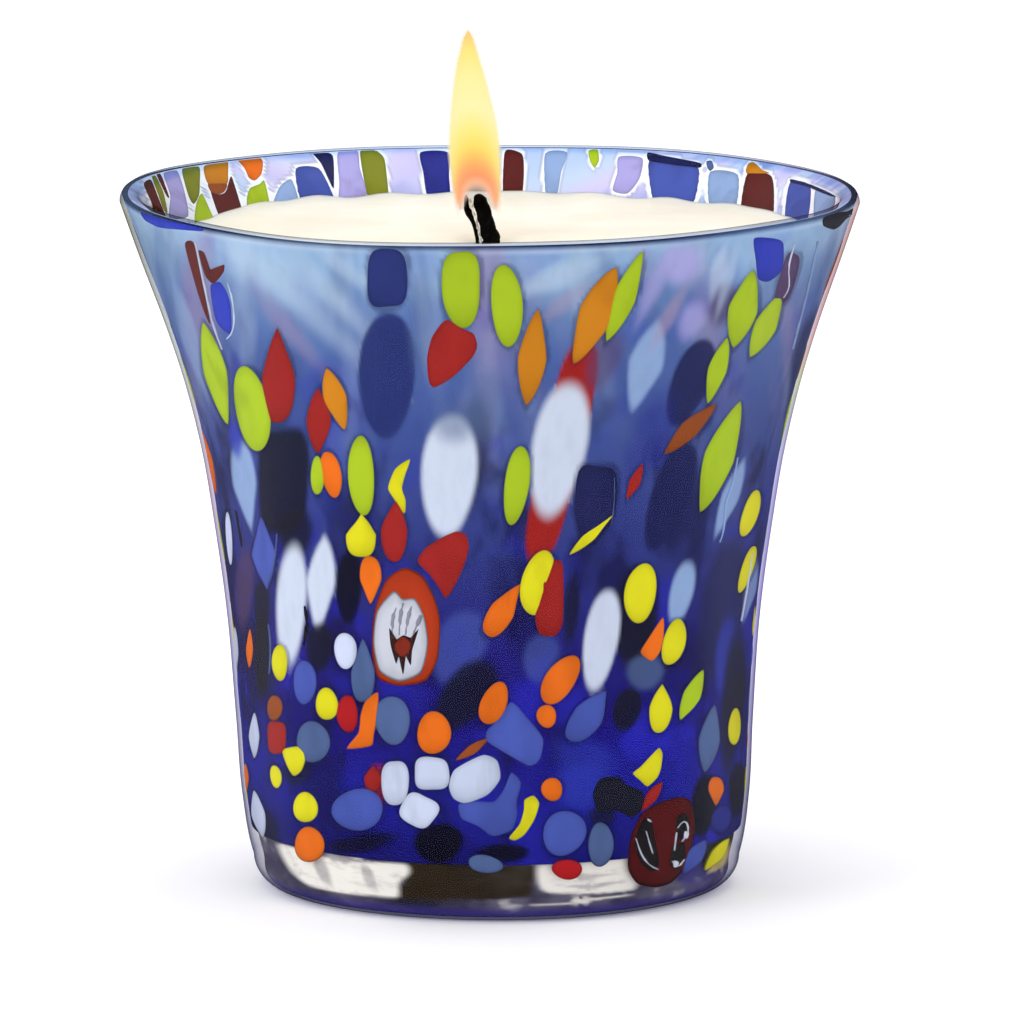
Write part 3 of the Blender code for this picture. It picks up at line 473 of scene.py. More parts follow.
def front_hit(across, up):
    """Bearing and height where a sight line meets the front of the coloured layer."""
    depth = FIRST_DEPTH
    for _ in range(SIGHT_ROUNDS):
        x, z = sight_line(across, up, depth)
        radius = station_radius(np.clip(z, 0, RIM_HEIGHT)) - SKIN
        lateral = np.clip((x - axis_shift(z)) / radius, -GRAZING, GRAZING)
        depth = -radius * np.sqrt(1 - lateral**2)
    bearing = np.arcsin(lateral)
    return bearing, z - lip_lift(bearing, z)


def inside_hit(across, up):
    """Bearing and height where a sight line leaves the tumbler's inside, found by steps along it."""
    depth = np.linspace(-MARCH_REACH, MARCH_REACH, MARCH_STEPS)
    x, z = sight_line(across[:, None], up[:, None], depth)
    off = x - axis_shift(z)
    turn = np.arctan2(off, -depth)
    level = np.clip(z - lip_lift(turn, z), 0, COLOUR_TOP)
    gap = np.hypot(off, depth) - (outer_radius(turn, level) - lining_inset(turn, level))
    deepest = np.argmin(gap, axis=1)
    beyond = (gap > 0) & (np.arange(len(depth)) > deepest[:, None])
    found = beyond.any(axis=1)
    index = np.where(found, np.argmax(beyond, axis=1), np.maximum(deepest, 1))
    lines = np.arange(len(index))
    before, after = gap[lines, index - 1], gap[lines, index]
    share = np.where(found, np.clip(before / (before - after + 1e-12), 0, 1), 1.0)
    bearing = turn[lines, index - 1] + share * (turn[lines, index] - turn[lines, index - 1])
    height = level[lines, index - 1] + share * (level[lines, index] - level[lines, index - 1])
    return bearing, height


def plane_place(points):
    """(across, up) in millimetres at which points are seen by the camera."""
    reach = -EYE.y / (-EYE.y + points[:, 1])
    across = EYE.x + reach * (points[:, 0] - EYE.x)
    up = EYE.z + reach * (points[:, 2] - EYE.z)
    return across / MM, up / MM


# ---------------------------------------------------------------- mesh helpers
def new_object(name, vertices, faces, smooth=True):
    mesh = bpy.data.meshes.new(name)
    mesh.from_pydata(np.asarray(vertices).tolist(), [], faces)
    if smooth:
        mesh.shade_smooth()
    obj = bpy.data.objects.new(name, mesh)
    bpy.context.scene.collection.objects.link(obj)
    return obj


def grid_faces(rows, columns, closed_rows, offset=0):
    """Quads of a grid whose columns run round the axis and whose rows run down the outer side."""
    faces = []
    last = rows if closed_rows else rows - 1
    for i in range(last):
        low = offset + i * columns
        high = offset + ((i + 1) % rows) * columns
        for j in range(columns):
            k = (j + 1) % columns
            faces.append((low + j, high + j, high + k, low + k))
    return faces


def ring_solid(name, rows):
    """Closed ring from rows of points; the first row joins the last."""
    count, columns = rows.shape[:2]
    return new_object(name, rows.reshape(-1, 3), grid_faces(count, columns, True))


def capped_solid(name, rows):
    """Closed solid from rows of points; the first and last rows are closed by a fan."""
    count, columns = rows.shape[:2]
    vertices = rows.reshape(-1, 3).tolist()
    faces = grid_faces(count, columns, False)
    vertices += [rows[0].mean(axis=0).tolist(), rows[-1].mean(axis=0).tolist()]
    top, bottom = len(vertices) - 2, len(vertices) - 1
    base = (count - 1) * columns
    for j in range(columns):
        k = (j + 1) % columns
        faces.append((top, j, k))
        faces.append((bottom, base + k, base + j))
    return new_object(name, vertices, faces)


def turned(turn, rows):
    """Points of rows given as (radius, height), round the wall's own axis."""
    return np.array([round_axis(turn, radius, height) for radius, height in rows])


def wall_layer(name, turn, heights, inner_heights, inset, inner_inset):
    """Ring of wall between two depths, and the place, bearing and height of each of its points."""
    outer = [on_wall(turn, height, inset) for height in heights]
    inner = [on_wall(turn, height, inner_inset(turn, height)) for height in inner_heights]
    rows = np.array(outer + inner)
    level = np.repeat(np.concatenate([heights, inner_heights]), len(turn))
    bearing = (np.tile(turn, len(rows)) + np.pi) % (2 * np.pi) - np.pi
    return ring_solid(name, rows), rows.reshape(-1, 3), bearing, level


def bearings(count):
    return np.arange(count) * 2 * np.pi / count


def store(obj, name, values):
    """Keep a number, or a colour, with each vertex."""
    values = np.asarray(values, dtype=np.float32)
    mesh = obj.data
    if values.ndim == 1:
        mesh.attributes.new(name, "FLOAT", "POINT").data.foreach_set("value", values)
    elif values.shape[1] == 3:
        mesh.attributes.new(name, "FLOAT_VECTOR", "POINT").data.foreach_set("vector", values.ravel())
    else:
        mesh.attributes.new(name, "FLOAT_COLOR", "POINT").data.foreach_set("color", values.ravel())


def smoothstep(low, high, value):
    t = np.clip((value - low) / (high - low), 0, 1)
    return t * t * (3 - 2 * t)


def soft_cover(near, soft, strength):
    """Cover of a patch whose edge is soft."""
    return strength * (1 - smoothstep(1 - soft, 1 + soft, near))


# ---------------------------------------------------------------- material helpers
class Nodes:
    """Short names for building a node material."""

    def __init__(self, name):
        self.material = bpy.data.materials.new(name)
        self.material.use_nodes = True
        self.tree = self.material.node_tree
        self.tree.nodes.clear()
        self.output = self.add("ShaderNodeOutputMaterial")

    def add(self, kind, **settings):
        node = self.tree.nodes.new(kind)
        for key, value in settings.items():
            setattr(node, key, value)
        return node

    def link(self, source, target):
        self.tree.links.new(source, target)

    def put(self, socket, value):
        """Set a socket to a value, or link it when the value is another socket."""
        if isinstance(value, bpy.types.NodeSocket):
            self.link(value, socket)
        elif isinstance(value, tuple) and len(value) == 3 and socket.type == "RGBA":
            socket.default_value = (*value, 1.0)
        else:
            socket.default_value = value

    def attribute(self, name, output="Fac"):
        return self.add("ShaderNodeAttribute", attribute_name=name).outputs[output]

    def place(self):
        return self.add("ShaderNodeTexCoord").outputs["Object"]

    def noise(self, vector, scale, detail=2.0, roughness=0.5, stretch=1.0):
        """Noise in 3-D, drawn out along Z when stretch is under 1."""
        mapping = self.add("ShaderNodeMapping")
        mapping.inputs["Scale"].default_value = (1, 1, stretch)
        self.link(vector, mapping.inputs["Vector"])
        node = self.add("ShaderNodeTexNoise")
        self.link(mapping.outputs["Vector"], node.inputs["Vector"])
        node.inputs["Scale"].default_value = scale
        node.inputs["Detail"].default_value = detail
        node.inputs["Roughness"].default_value = roughness
        return node.outputs["Fac"]

    def ramp(self, factor, stops):
        """Colour or value ramp; stops are (position, colour or number)."""
        node = self.add("ShaderNodeValToRGB")
        elements = node.color_ramp.elements
        while len(elements) < len(stops):
            elements.new(0.5)
        for element, (position, colour) in zip(elements, stops):
            element.position = position
            channels = colour if isinstance(colour, tuple) else (colour, colour, colour)
            element.color = (*channels, 1.0)
        self.link(factor, node.inputs["Fac"])
        return node.outputs["Color"]

    def math(self, operation, first, second=0.0):
        node = self.add("ShaderNodeMath", operation=operation)
        self.put(node.inputs[0], first)
        self.put(node.inputs[1], second)
        return node.outputs[0]

    def mix(self, factor, first, second, blend="MIX"):
        node = self.add("ShaderNodeMix", data_type="RGBA", blend_type=blend)
        self.put(node.inputs[0], factor)
        self.put(node.inputs[6], first)
        self.put(node.inputs[7], second)
        return node.outputs[2]

    def veined(self, colour, tint, vector, grain, rise, where=None, blend="MIX"):
        """Lay a tint over a colour where noise of a grain rises.

        The grain is (scale, detail, roughness, stretch), and the rise (start, full, cover when full).
        """
        start, full, cover = rise
        share = self.ramp(self.noise(vector, *grain), ((start, 0.0), (full, cover)))
        if where is not None:
            share = self.math("MULTIPLY", share, where)
        return self.mix(share, colour, tint, blend)

    def painted(self, colour):
        """The colour, under what is painted in the mesh's patches."""
        paint = self.add("ShaderNodeAttribute", attribute_name="patches")
        return self.mix(paint.outputs["Alpha"], colour, paint.outputs["Color"])

    def facing(self):
        """0 where the surface faces the viewer, 1 where it turns away."""
        node = self.add("ShaderNodeLayerWeight")
        node.inputs["Blend"].default_value = 0.5
        return node.outputs["Facing"]

    def height(self):
        """Height in the object, in metres."""
        node = self.add("ShaderNodeSeparateXYZ")
        self.link(self.place(), node.inputs[0])
        return node.outputs["Z"]

    def bump(self, height, strength, distance):
        node = self.add("ShaderNodeBump")
        self.link(height, node.inputs["Height"])
        node.inputs["Strength"].default_value = strength
        node.inputs["Distance"].default_value = distance
        return node.outputs["Normal"]

    def principled(self, **inputs):
        shader = self.add("ShaderNodeBsdfPrincipled")
        for key, value in inputs.items():
            self.put(shader.inputs[key.replace("_", " ")], value)
        return shader.outputs[0]

    def matt(self, colour, roughness, **inputs):
        """Finish with a surface that has no gloss of its own."""
        surface = self.principled(Base_Color=colour, Roughness=roughness, Specular_IOR_Level=0.0, **inputs)
        return self.finish(surface)

    def finish(self, surface):
        self.link(surface, self.output.inputs["Surface"])
        return self.material


def share_of_height(nodes, low, high):
    """0 at height low, 1 at height high."""
    return nodes.math("DIVIDE", nodes.math("SUBTRACT", nodes.height(), low), high - low)


def grained(name, grain, stops, bump=None, **inputs):
    """Material whose colour, and bump as (strength, distance), follow the same fine noise."""
    n = Nodes(name)
    noise = n.noise(n.place(), *grain)
    if bump:
        inputs["Normal"] = n.bump(noise, *bump)
    return n.finish(n.principled(Base_Color=n.ramp(noise, stops), **inputs))


# ---------------------------------------------------------------- glass materials
def coloured_glass():
    """The blue layer: opal with pale streaks near the lip, cobalt below, and the blurred patches."""
    n = Nodes("coloured_glass")
    drift = n.noise(n.place(), 90, 3, stretch=0.6)
    sway = n.math("MULTIPLY", n.math("SUBTRACT", drift, 0.5), 0.14)
    level = n.math("ADD", share_of_height(n, 0.0, RIM_HEIGHT), sway)
    colour = n.ramp(level, (
        (0.10, display(20, 18, 112)), (0.18, display(26, 28, 150)), (0.28, display(24, 16, 120)),
        (0.40, display(32, 28, 120)), (0.52, display(44, 52, 128)), (0.64, display(56, 70, 142)),
        (0.74, display(64, 84, 154)), (0.82, display(78, 102, 168)), (0.90, display(100, 130, 186)),
        (0.97, display(148, 182, 224))))
    flow = n.attribute("flow", "Vector")
    high = n.ramp(level, ((0.62, 0.0), (0.86, 1.0)))
    colour = n.veined(colour, display(186, 206, 232), flow, (95, 2, 0.45, 0.10), (0.50, 0.70, 0.34), high)
    colour = n.veined(colour, display(62, 88, 152), flow, (120, 2, 0.5, 0.08), (0.50, 0.70, 0.45), high)
    colour = n.veined(colour, display(160, 138, 182), flow, (60, 2, 0.5, 0.12), (0.56, 0.70, 0.5), high)
    below = n.ramp(level, ((0.62, 1.0), (0.84, 0.12)))
    colour = n.veined(colour, display(16, 12, 56), n.place(), (140, 3, 0.55, 0.55), (0.50, 0.62, 0.70),
                      below)
    low = n.ramp(level, ((0.25, 1.0), (0.62, 0.25)))
    colour = n.veined(colour, display(36, 36, 184), n.place(), (105, 2, 0.5), (0.54, 0.66, 0.8), low)
    colour = n.painted(colour)
    colour = n.veined(colour, display(90, 90, 120), n.place(), (520, 4, 0.65, 0.4), (0.45, 0.75, 0.10),
                      blend="MULTIPLY")
    return n.matt(n.mix(1.0, colour, (0.86, 0.86, 0.82), "MULTIPLY"), 0.5)


def opal_lining():
    """Inside of the wall: pale lavender and blue, in upright panels; its luminous paleness above the wax is
    partly painted light for the backlight shining through.
    """
    n = Nodes("opal_lining")
    flow = n.attribute("flow", "Vector")
    panels = n.noise(flow, 85, 1, 0.5, 0.05)
    colour = n.ramp(panels, (
        (0.30, display(150, 178, 228)), (0.42, display(188, 208, 240)), (0.50, display(206, 200, 240)),
        (0.58, display(170, 180, 232)), (0.70, display(196, 218, 244))))
    colour = n.veined(colour, display(230, 238, 252), flow, (240, 3, 0.6, 0.12), (0.54, 0.66, 0.8))
    colour = n.veined(colour, display(128, 146, 208), flow, (190, 3, 0.6, 0.10), (0.56, 0.70, 0.6))
    # Deeper blue lower down; paler above the wax line, partly painted light for the backlight that shines
    # through the wall there.
    level = share_of_height(n, GLASS_FLOOR, RIM_HEIGHT)
    colour = n.mix(n.ramp(level, ((0.55, 0.85), (0.90, 0.0))), colour, display(60, 72, 170))
    return n.matt(n.painted(colour), 0.4)


def chip_glass(name, paint):
    """Opaque coloured chip: cloudy and streaked inside, darker to one end and at its edge."""
    n = Nodes("chip_" + name)
    tone = n.attribute("tone")
    edge = n.attribute("edge")
    along = n.attribute("along")
    darker = tuple(0.55 * c for c in paint)
    lighter = tuple(0.92 * c + 0.003 for c in paint)
    rim = tuple(0.16 * c + 0.003 for c in paint)
    cloud = n.noise(n.place(), 260, 3, 0.55, 0.35)
    colour = n.mix(n.ramp(cloud, ((0.30, 0.45), (0.50, 1.0))), darker, lighter)
    end = n.math("MULTIPLY", n.ramp(along, ((0.0, 1.0), (0.40, 0.0), (0.80, 0.0), (1.0, 0.5))), tone)
    colour = n.mix(n.math("MULTIPLY", end, 0.75), colour, darker)
    colour = n.mix(n.math("MULTIPLY", tone, 0.30), colour, darker)
    colour = n.veined(colour, lighter, n.place(), (900, 3, 0.6, 0.12), (0.56, 0.72, 0.25))
    colour = n.mix(n.ramp(edge, ((0.72, 0.0), (0.92, 0.22), (1.0, 0.95))), colour, rim)
    return n.matt(colour, 0.45)


def clear_glass():
    """Clear glass over the colour: seen straight through, glossy, with painted light where it turns away:
    tints and a dark rim for what refraction shows at the silhouette.
    """
    n = Nodes("clear_glass")
    facing = n.facing()
    split = n.add("ShaderNodeSeparateXYZ")
    n.link(n.place(), split.inputs[0])
    cloud = n.math("SUBTRACT", n.noise(n.place(), 160, 3, 0.6, 0.3), 0.5)
    level = n.math("ADD", share_of_height(n, 0.0, RIM_HEIGHT), n.math("MULTIPLY", cloud, 0.3))
    # Painted light: tints of the silhouette, different on the left and right, for what refraction shows
    # there.
    left = n.ramp(level, (
        (0.10, display(126, 124, 152)), (0.35, display(150, 146, 186)), (0.60, display(186, 170, 190)),
        (0.80, display(184, 190, 188)), (0.97, display(150, 150, 136))))
    right = n.ramp(level, (
        (0.10, display(96, 92, 136)), (0.35, display(140, 132, 190)), (0.62, display(166, 160, 206)),
        (0.74, display(186, 190, 160)), (0.82, display(204, 172, 178)), (0.97, display(190, 160, 160))))
    sideways = n.math("MULTIPLY", split.outputs["X"], 12.0)
    side = n.ramp(n.math("ADD", sideways, 0.5), ((0.3, 0.0), (0.7, 1.0)))
    tint = n.mix(side, left, right)
    colour = n.mix(n.ramp(facing, ((0.45, 0.0), (0.80, 0.45), (0.97, 1.0))), (1.0, 1.0, 1.0), tint)
    # Painted shade: the dark rim where the glass turns fully away.
    colour = n.mix(n.ramp(facing, ((0.93, 0.0), (1.0, 0.8))), colour, display(60, 58, 84))
    lip = n.ramp(share_of_height(n, RIM_HEIGHT - 2.0 * MM, RIM_HEIGHT), ((0.50, 0.0), (0.75, 1.0)))
    colour = n.mix(lip, colour, display(222, 232, 246), "MULTIPLY")
    through = n.add("ShaderNodeBsdfTransparent")
    n.link(colour, through.inputs["Color"])
    gloss = n.add("ShaderNodeBsdfGlossy")
    gloss.inputs["Roughness"].default_value = 0.05
    fresnel = n.add("ShaderNodeFresnel")
    fresnel.inputs["IOR"].default_value = 1.18
    front = n.math("SUBTRACT", 1.0, n.add("ShaderNodeNewGeometry").outputs["Backfacing"])
    weight = n.math("MINIMUM", n.math("MULTIPLY", fresnel.outputs[0], front), 0.028)
    mix = n.add("ShaderNodeMixShader")
    n.link(weight, mix.inputs[0])
    n.link(through.outputs[0], mix.inputs[1])
    n.link(gloss.outputs[0], mix.inputs[2])
    return n.finish(mix.outputs[0])


def painted_base_reflections():
    """Painted reflections in the depth of the thick clear base: slate, olive and cream that change round
    the foot, and dark indigo along the bottom.
    """
    n = Nodes("painted_base_reflections")
    bands = n.noise(n.place(), 75, 3, 0.55, 2.4)
    colour = n.painted(n.ramp(bands, (
        (0.36, display(36, 34, 48)), (0.48, display(58, 54, 76)), (0.58, display(96, 92, 112)),
        (0.66, display(206, 202, 198)), (0.76, display(84, 78, 88)))))
    colour = n.veined(colour, display(150, 146, 150), n.place(), (260, 4, 0.62, 2.6), (0.50, 0.68, 0.35),
                      blend="MULTIPLY")
    # Painted reflection: dark indigo along the bottom, the blue glass seen through the rounded foot.
    level = share_of_height(n, 0.0, 3.0 * MM)
    colour = n.mix(n.ramp(level, ((0.35, 0.9), (0.75, 0.0))), colour, display(50, 40, 122))
    return n.matt(colour, 0.4)


# ---------------------------------------------------------------- tumbler
def clear_cup():
    """The clear glass body: floor, inner wall, fire-polished lip, outer wall, foot and ground hollow."""
    turn = bearings(288)
    lip_radius = WALL_AT_LIP / 2
    lip_height = RIM_HEIGHT - lip_radius
    floor_edge = inner_radius(turn, GLASS_FLOOR)
    rows = [(floor_edge * share, GLASS_FLOOR) for share in (0.002, 0.3, 0.6, 0.85)]
    for angle in np.radians(np.linspace(-80, 0, 6)):
        back = FLOOR_CORNER * (1 - np.cos(angle))
        rows.append((floor_edge - back, GLASS_FLOOR + FLOOR_CORNER * (1 + np.sin(angle))))
    for height in np.linspace(GLASS_FLOOR + 1.5 * FLOOR_CORNER, lip_height, 40):
        rows.append((inner_radius(turn, height), height + lip_lift(turn, height)))
    centre = outer_radius(turn, lip_height) - lip_radius
    middle = lip_height + lip_wave(turn)
    for angle in np.radians(np.linspace(160, 0, 13)):
        rows.append((centre + lip_radius * np.cos(angle), middle + lip_radius * np.sin(angle)))
    for height in np.linspace(lip_height - 0.8 * MM, FOOT_CORNER, 90):
        rows.append((outer_radius(turn, height), height + lip_lift(turn, height)))
    rows += foot_rows(turn, 0.0, 0.0)
    cup = capped_solid("clear_cup", turned(turn, rows))
    cup.data.materials.append(clear_glass())
    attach(cup, "glass")
    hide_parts("glass_cup")


def lip_wave(turn):
    """The lip's rise and fall round the tumbler."""
    slow = 0.20 * np.sin(2 * turn - 1.2) + 0.16 * np.sin(3 * turn + 0.4)
    return (slow + 0.07 * np.sin(7 * turn + 1.9)) * MM


def foot_rows(turn, side_inset, low_inset):
    """Rows of the rounded foot, its ring and the ground hollow, moved inwards at the side and below."""
    centre = outer_radius(turn, FOOT_CORNER) - FOOT_CORNER
    rows = []
    for angle in np.radians(np.linspace(-8, -90, 14)):
        share = smoothstep(-0.25, -0.95, math.sin(angle))
        corner = FOOT_CORNER - side_inset - (low_inset - side_inset) * share
        rows.append((centre + corner * np.cos(angle), FOOT_CORNER + corner * np.sin(angle)))
    ring = FOOT_RING_INNER
    hollow = ((ring, 0.0), (ring - 1.0 * MM, 0.55), (ring - 3.0 * MM, 1.0), (0.5 * ring, 1.1),
              (0.1 * MM, 1.15))
    return rows + [(radius, share * PUNT_DEPTH + low_inset) for radius, share in hollow]


def base_reflection_sheet():
    """Sheet just inside the surface of the clear base, painted with the reflections seen in its depth."""
    turn = bearings(512)
    top = COLOUR_LOW - 0.02 * MM
    rows = [((outer_radius(turn, top) - CORE_DEEP) * share, top) for share in (0.002, 0.5, 0.9)]
    for height in np.linspace(top, FOOT_CORNER, 14):
        rows.append((outer_radius(turn, height) - CORE_DEEP, height))
    rows += foot_rows(turn, CORE_DEEP, CORE_SHALLOW)
    points = turned(turn, rows)
    core = capped_solid("base_reflection_sheet", points)
    flat = np.concatenate([points.reshape(-1, 3), points[:1].mean(axis=1), points[-1:].mean(axis=1)])
    patches = np.zeros((len(flat), 4))
    across, up = plane_place(flat)
    facing = flat[:, 1] < 0
    for paint, soft, strength, middle, outline in BASE_REFLECTIONS:
        near = polygon_nearness(across, up, middle, outline, 0.0)
        blend_patch(patches, soft_cover(near, soft, strength) * facing, BASE_REFLECTION_PAINTS[paint])
    store(core, "patches", patches)
    core.data.materials.append(painted_base_reflections())
    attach(core, "glass")


def flow_field(bearing, height):
    """Coordinates along which the glass was drawn: twisted one way on the left, the other on the right."""
    twist = 9.0 * np.tanh(np.sin(bearing) * 1.6 + 0.3) * (height - 0.5 * RIM_HEIGHT)
    radius = station_radius(height)
    angle = bearing + twist * 2.2
    return np.stack([radius * np.sin(angle), -radius * np.cos(angle), height], axis=-1)


def outline_reach(angle, form, wobble=(0.0, 0.0)):
    """Distance to a chip's outline in each direction, for a chip of half width and half length 1."""
    power = np.where(np.sin(angle) >= 0, form[0], form[1])
    reach = (np.abs(np.cos(angle)) ** power + np.abs(np.sin(angle)) ** power) ** (-1 / power)
    return reach * (1 + 0.03 * np.sin(2 * angle + wobble[0]) + 0.03 * np.sin(3 * angle + wobble[1]))


def nearness(x, y, width, length, lean, form):
    """0 at a patch's centre and 1 on its outline."""
    slope = math.radians(lean)
    u = (x * math.cos(slope) - y * math.sin(slope)) / (width / 2)
    v = (x * math.sin(slope) + y * math.cos(slope)) / (length / 2)
    return np.hypot(u, v) / outline_reach(np.arctan2(v, u), form)


def blend_patch(patches, cover, colour):
    """Lay a colour over the painted ones with the given cover."""
    keep = patches[:, 3] * (1 - cover)
    total = cover + keep
    safe = np.maximum(total, 1e-6)
    for channel in range(3):
        patches[:, channel] = (colour[channel] * cover + patches[:, channel] * keep) / safe
    patches[:, 3] = total


def paint_front(patches, points):
    """Blurred patches, and painted shade as dark outlines round the chips, on the outside of the coloured
    layer.
    """
    across, up = plane_place(points)
    facing = smoothstep(0.06, 0.20, -points[:, 1] / np.hypot(points[:, 0], points[:, 1]))
    for paint, x0, y0, width, length, lean, form, soft, strength in SOFT_PATCHES:
        near = nearness(across - x0, up - y0, width, length, lean, form)
        blend_patch(patches, soft_cover(near, soft, strength) * facing, PAINTS[paint])
    # Painted shade: a dark ring round each crisp chip.
    for _, x0, y0, width, length, lean, form in FRONT_CHIPS:
        near = nearness(across - x0, up - y0, width + 0.7, length + 0.7, lean, form)
        blend_patch(patches, 0.45 * (1 - smoothstep(0.98, 1.07, near)) * facing, OUTLINE_SHADE)


def coloured_layer():
    """The blue glass, with the blurred patches and the painted shade round the chips laid on it."""
    heights = np.append(np.arange(COLOUR_TOP, COLOUR_LOW, -0.4 * MM), COLOUR_LOW)
    inner_heights = np.linspace(COLOUR_LOW, COLOUR_TOP, 24)
    layer, points, bearing, level = wall_layer(
        "coloured_layer", bearings(640), heights, inner_heights, SKIN, lambda turn, height: SKIN + COLOUR)
    patches = np.zeros((len(points), 4))
    paint_front(patches, points)
    paint_back(patches, bearing, level)
    edge = smoothstep(COLOUR_TOP - 0.55 * MM, COLOUR_TOP - 0.25 * MM, level)
    blend_patch(patches, edge * (0.85 + 0.15 * np.sin(bearing * 5.0)), display(22, 24, 62))
    # Painted highlight: a pale band just below the dark top edge of the coloured layer.
    painted_highlight = smoothstep(COLOUR_TOP - 1.3 * MM, COLOUR_TOP - 1.0 * MM, level) * (1 - edge)
    blend_patch(patches, 0.45 * painted_highlight * (0.6 + 0.4 * np.sin(bearing * 7.0)), display(196, 214, 240))
    store(layer, "patches", patches)
    store(layer, "flow", flow_field(bearing, level))
    layer.data.materials.append(coloured_glass())
    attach(layer, "glass")
    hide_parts("colour_casing")


def lining():
    """The opal inside of the wall, with pale halos round the rear chips that show above the wax: painted
    light for the backlight through the clear gaps round them.
    """
    heights = np.append(np.arange(COLOUR_TOP, COLOUR_TOP - 10 * MM, -0.4 * MM),
                        np.linspace(COLOUR_TOP - 11 * MM, COLOUR_LOW + 3 * MM, 24))
    layer, points, bearing, level = wall_layer(
        "opal_lining", bearings(512), heights, heights[::-1], SKIN + COLOUR, lining_inset)
    patches = np.zeros((len(points), 4))
    across, up = plane_place(points)
    inner_side = np.arange(len(points)) >= len(points) // 2
    behind = (points[:, 1] > HALO_FROM) & inner_side
    # Painted light: pale halos where backlight shines round the rear chips.
    for _, middle, outline in REAR_CHIPS:
        near = polygon_nearness(across, up, middle, outline, HALO_WIDTH)
        blend_patch(patches, 0.95 * (1 - smoothstep(0.99, 1.06, near)) * behind, display(240, 245, 255))
    store(layer, "patches", patches)
    store(layer, "flow", flow_field(bearing, level))
    layer.data.materials.append(opal_lining())
    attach(layer, "glass")


def polygon_nearness(across, up, middle, outline, margin):
    """0 at the middle of a shaped chip and 1 on its outline widened by margin."""
    x, y = across - middle[0], up - middle[1]
    smooth = rounded(outline, middle)
    angles = np.arctan2(smooth[:, 1], smooth[:, 0])
    reach = np.hypot(smooth[:, 0], smooth[:, 1]) + margin
    order = np.argsort(angles)
    around = np.interp(np.arctan2(y, x), angles[order], reach[order], period=2 * np.pi)
    return np.hypot(x, y) / around


# ---------------------------------------------------------------- chips
def rounded(outline, middle, steps=5):
    """Closed smooth anticlockwise curve through the points of an outline, measured from its middle."""
    corners = np.asarray([(x - middle[0], y - middle[1]) for x, y in outline], dtype=float)
    after = np.roll(corners, -1, axis=0)
    if np.sum(corners[:, 0] * after[:, 1] - after[:, 0] * corners[:, 1]) < 0:
        corners = corners[::-1]
    before, after, beyond = (np.roll(corners, shift, axis=0) for shift in (1, -1, -2))
    leave = 0.7 * (after - before)
    arrive = 0.7 * (beyond - corners)
    curve = []
    for t in np.arange(steps) / steps:
        square = 6 * (after - corners) - 2 * leave - arrive
        cube = 4 * (corners - after) + leave + arrive
        curve.append(0.5 * (2 * corners + leave * t + square * t**2 + cube * t**3))
    return np.stack(curve, axis=1).reshape(-1, 2)


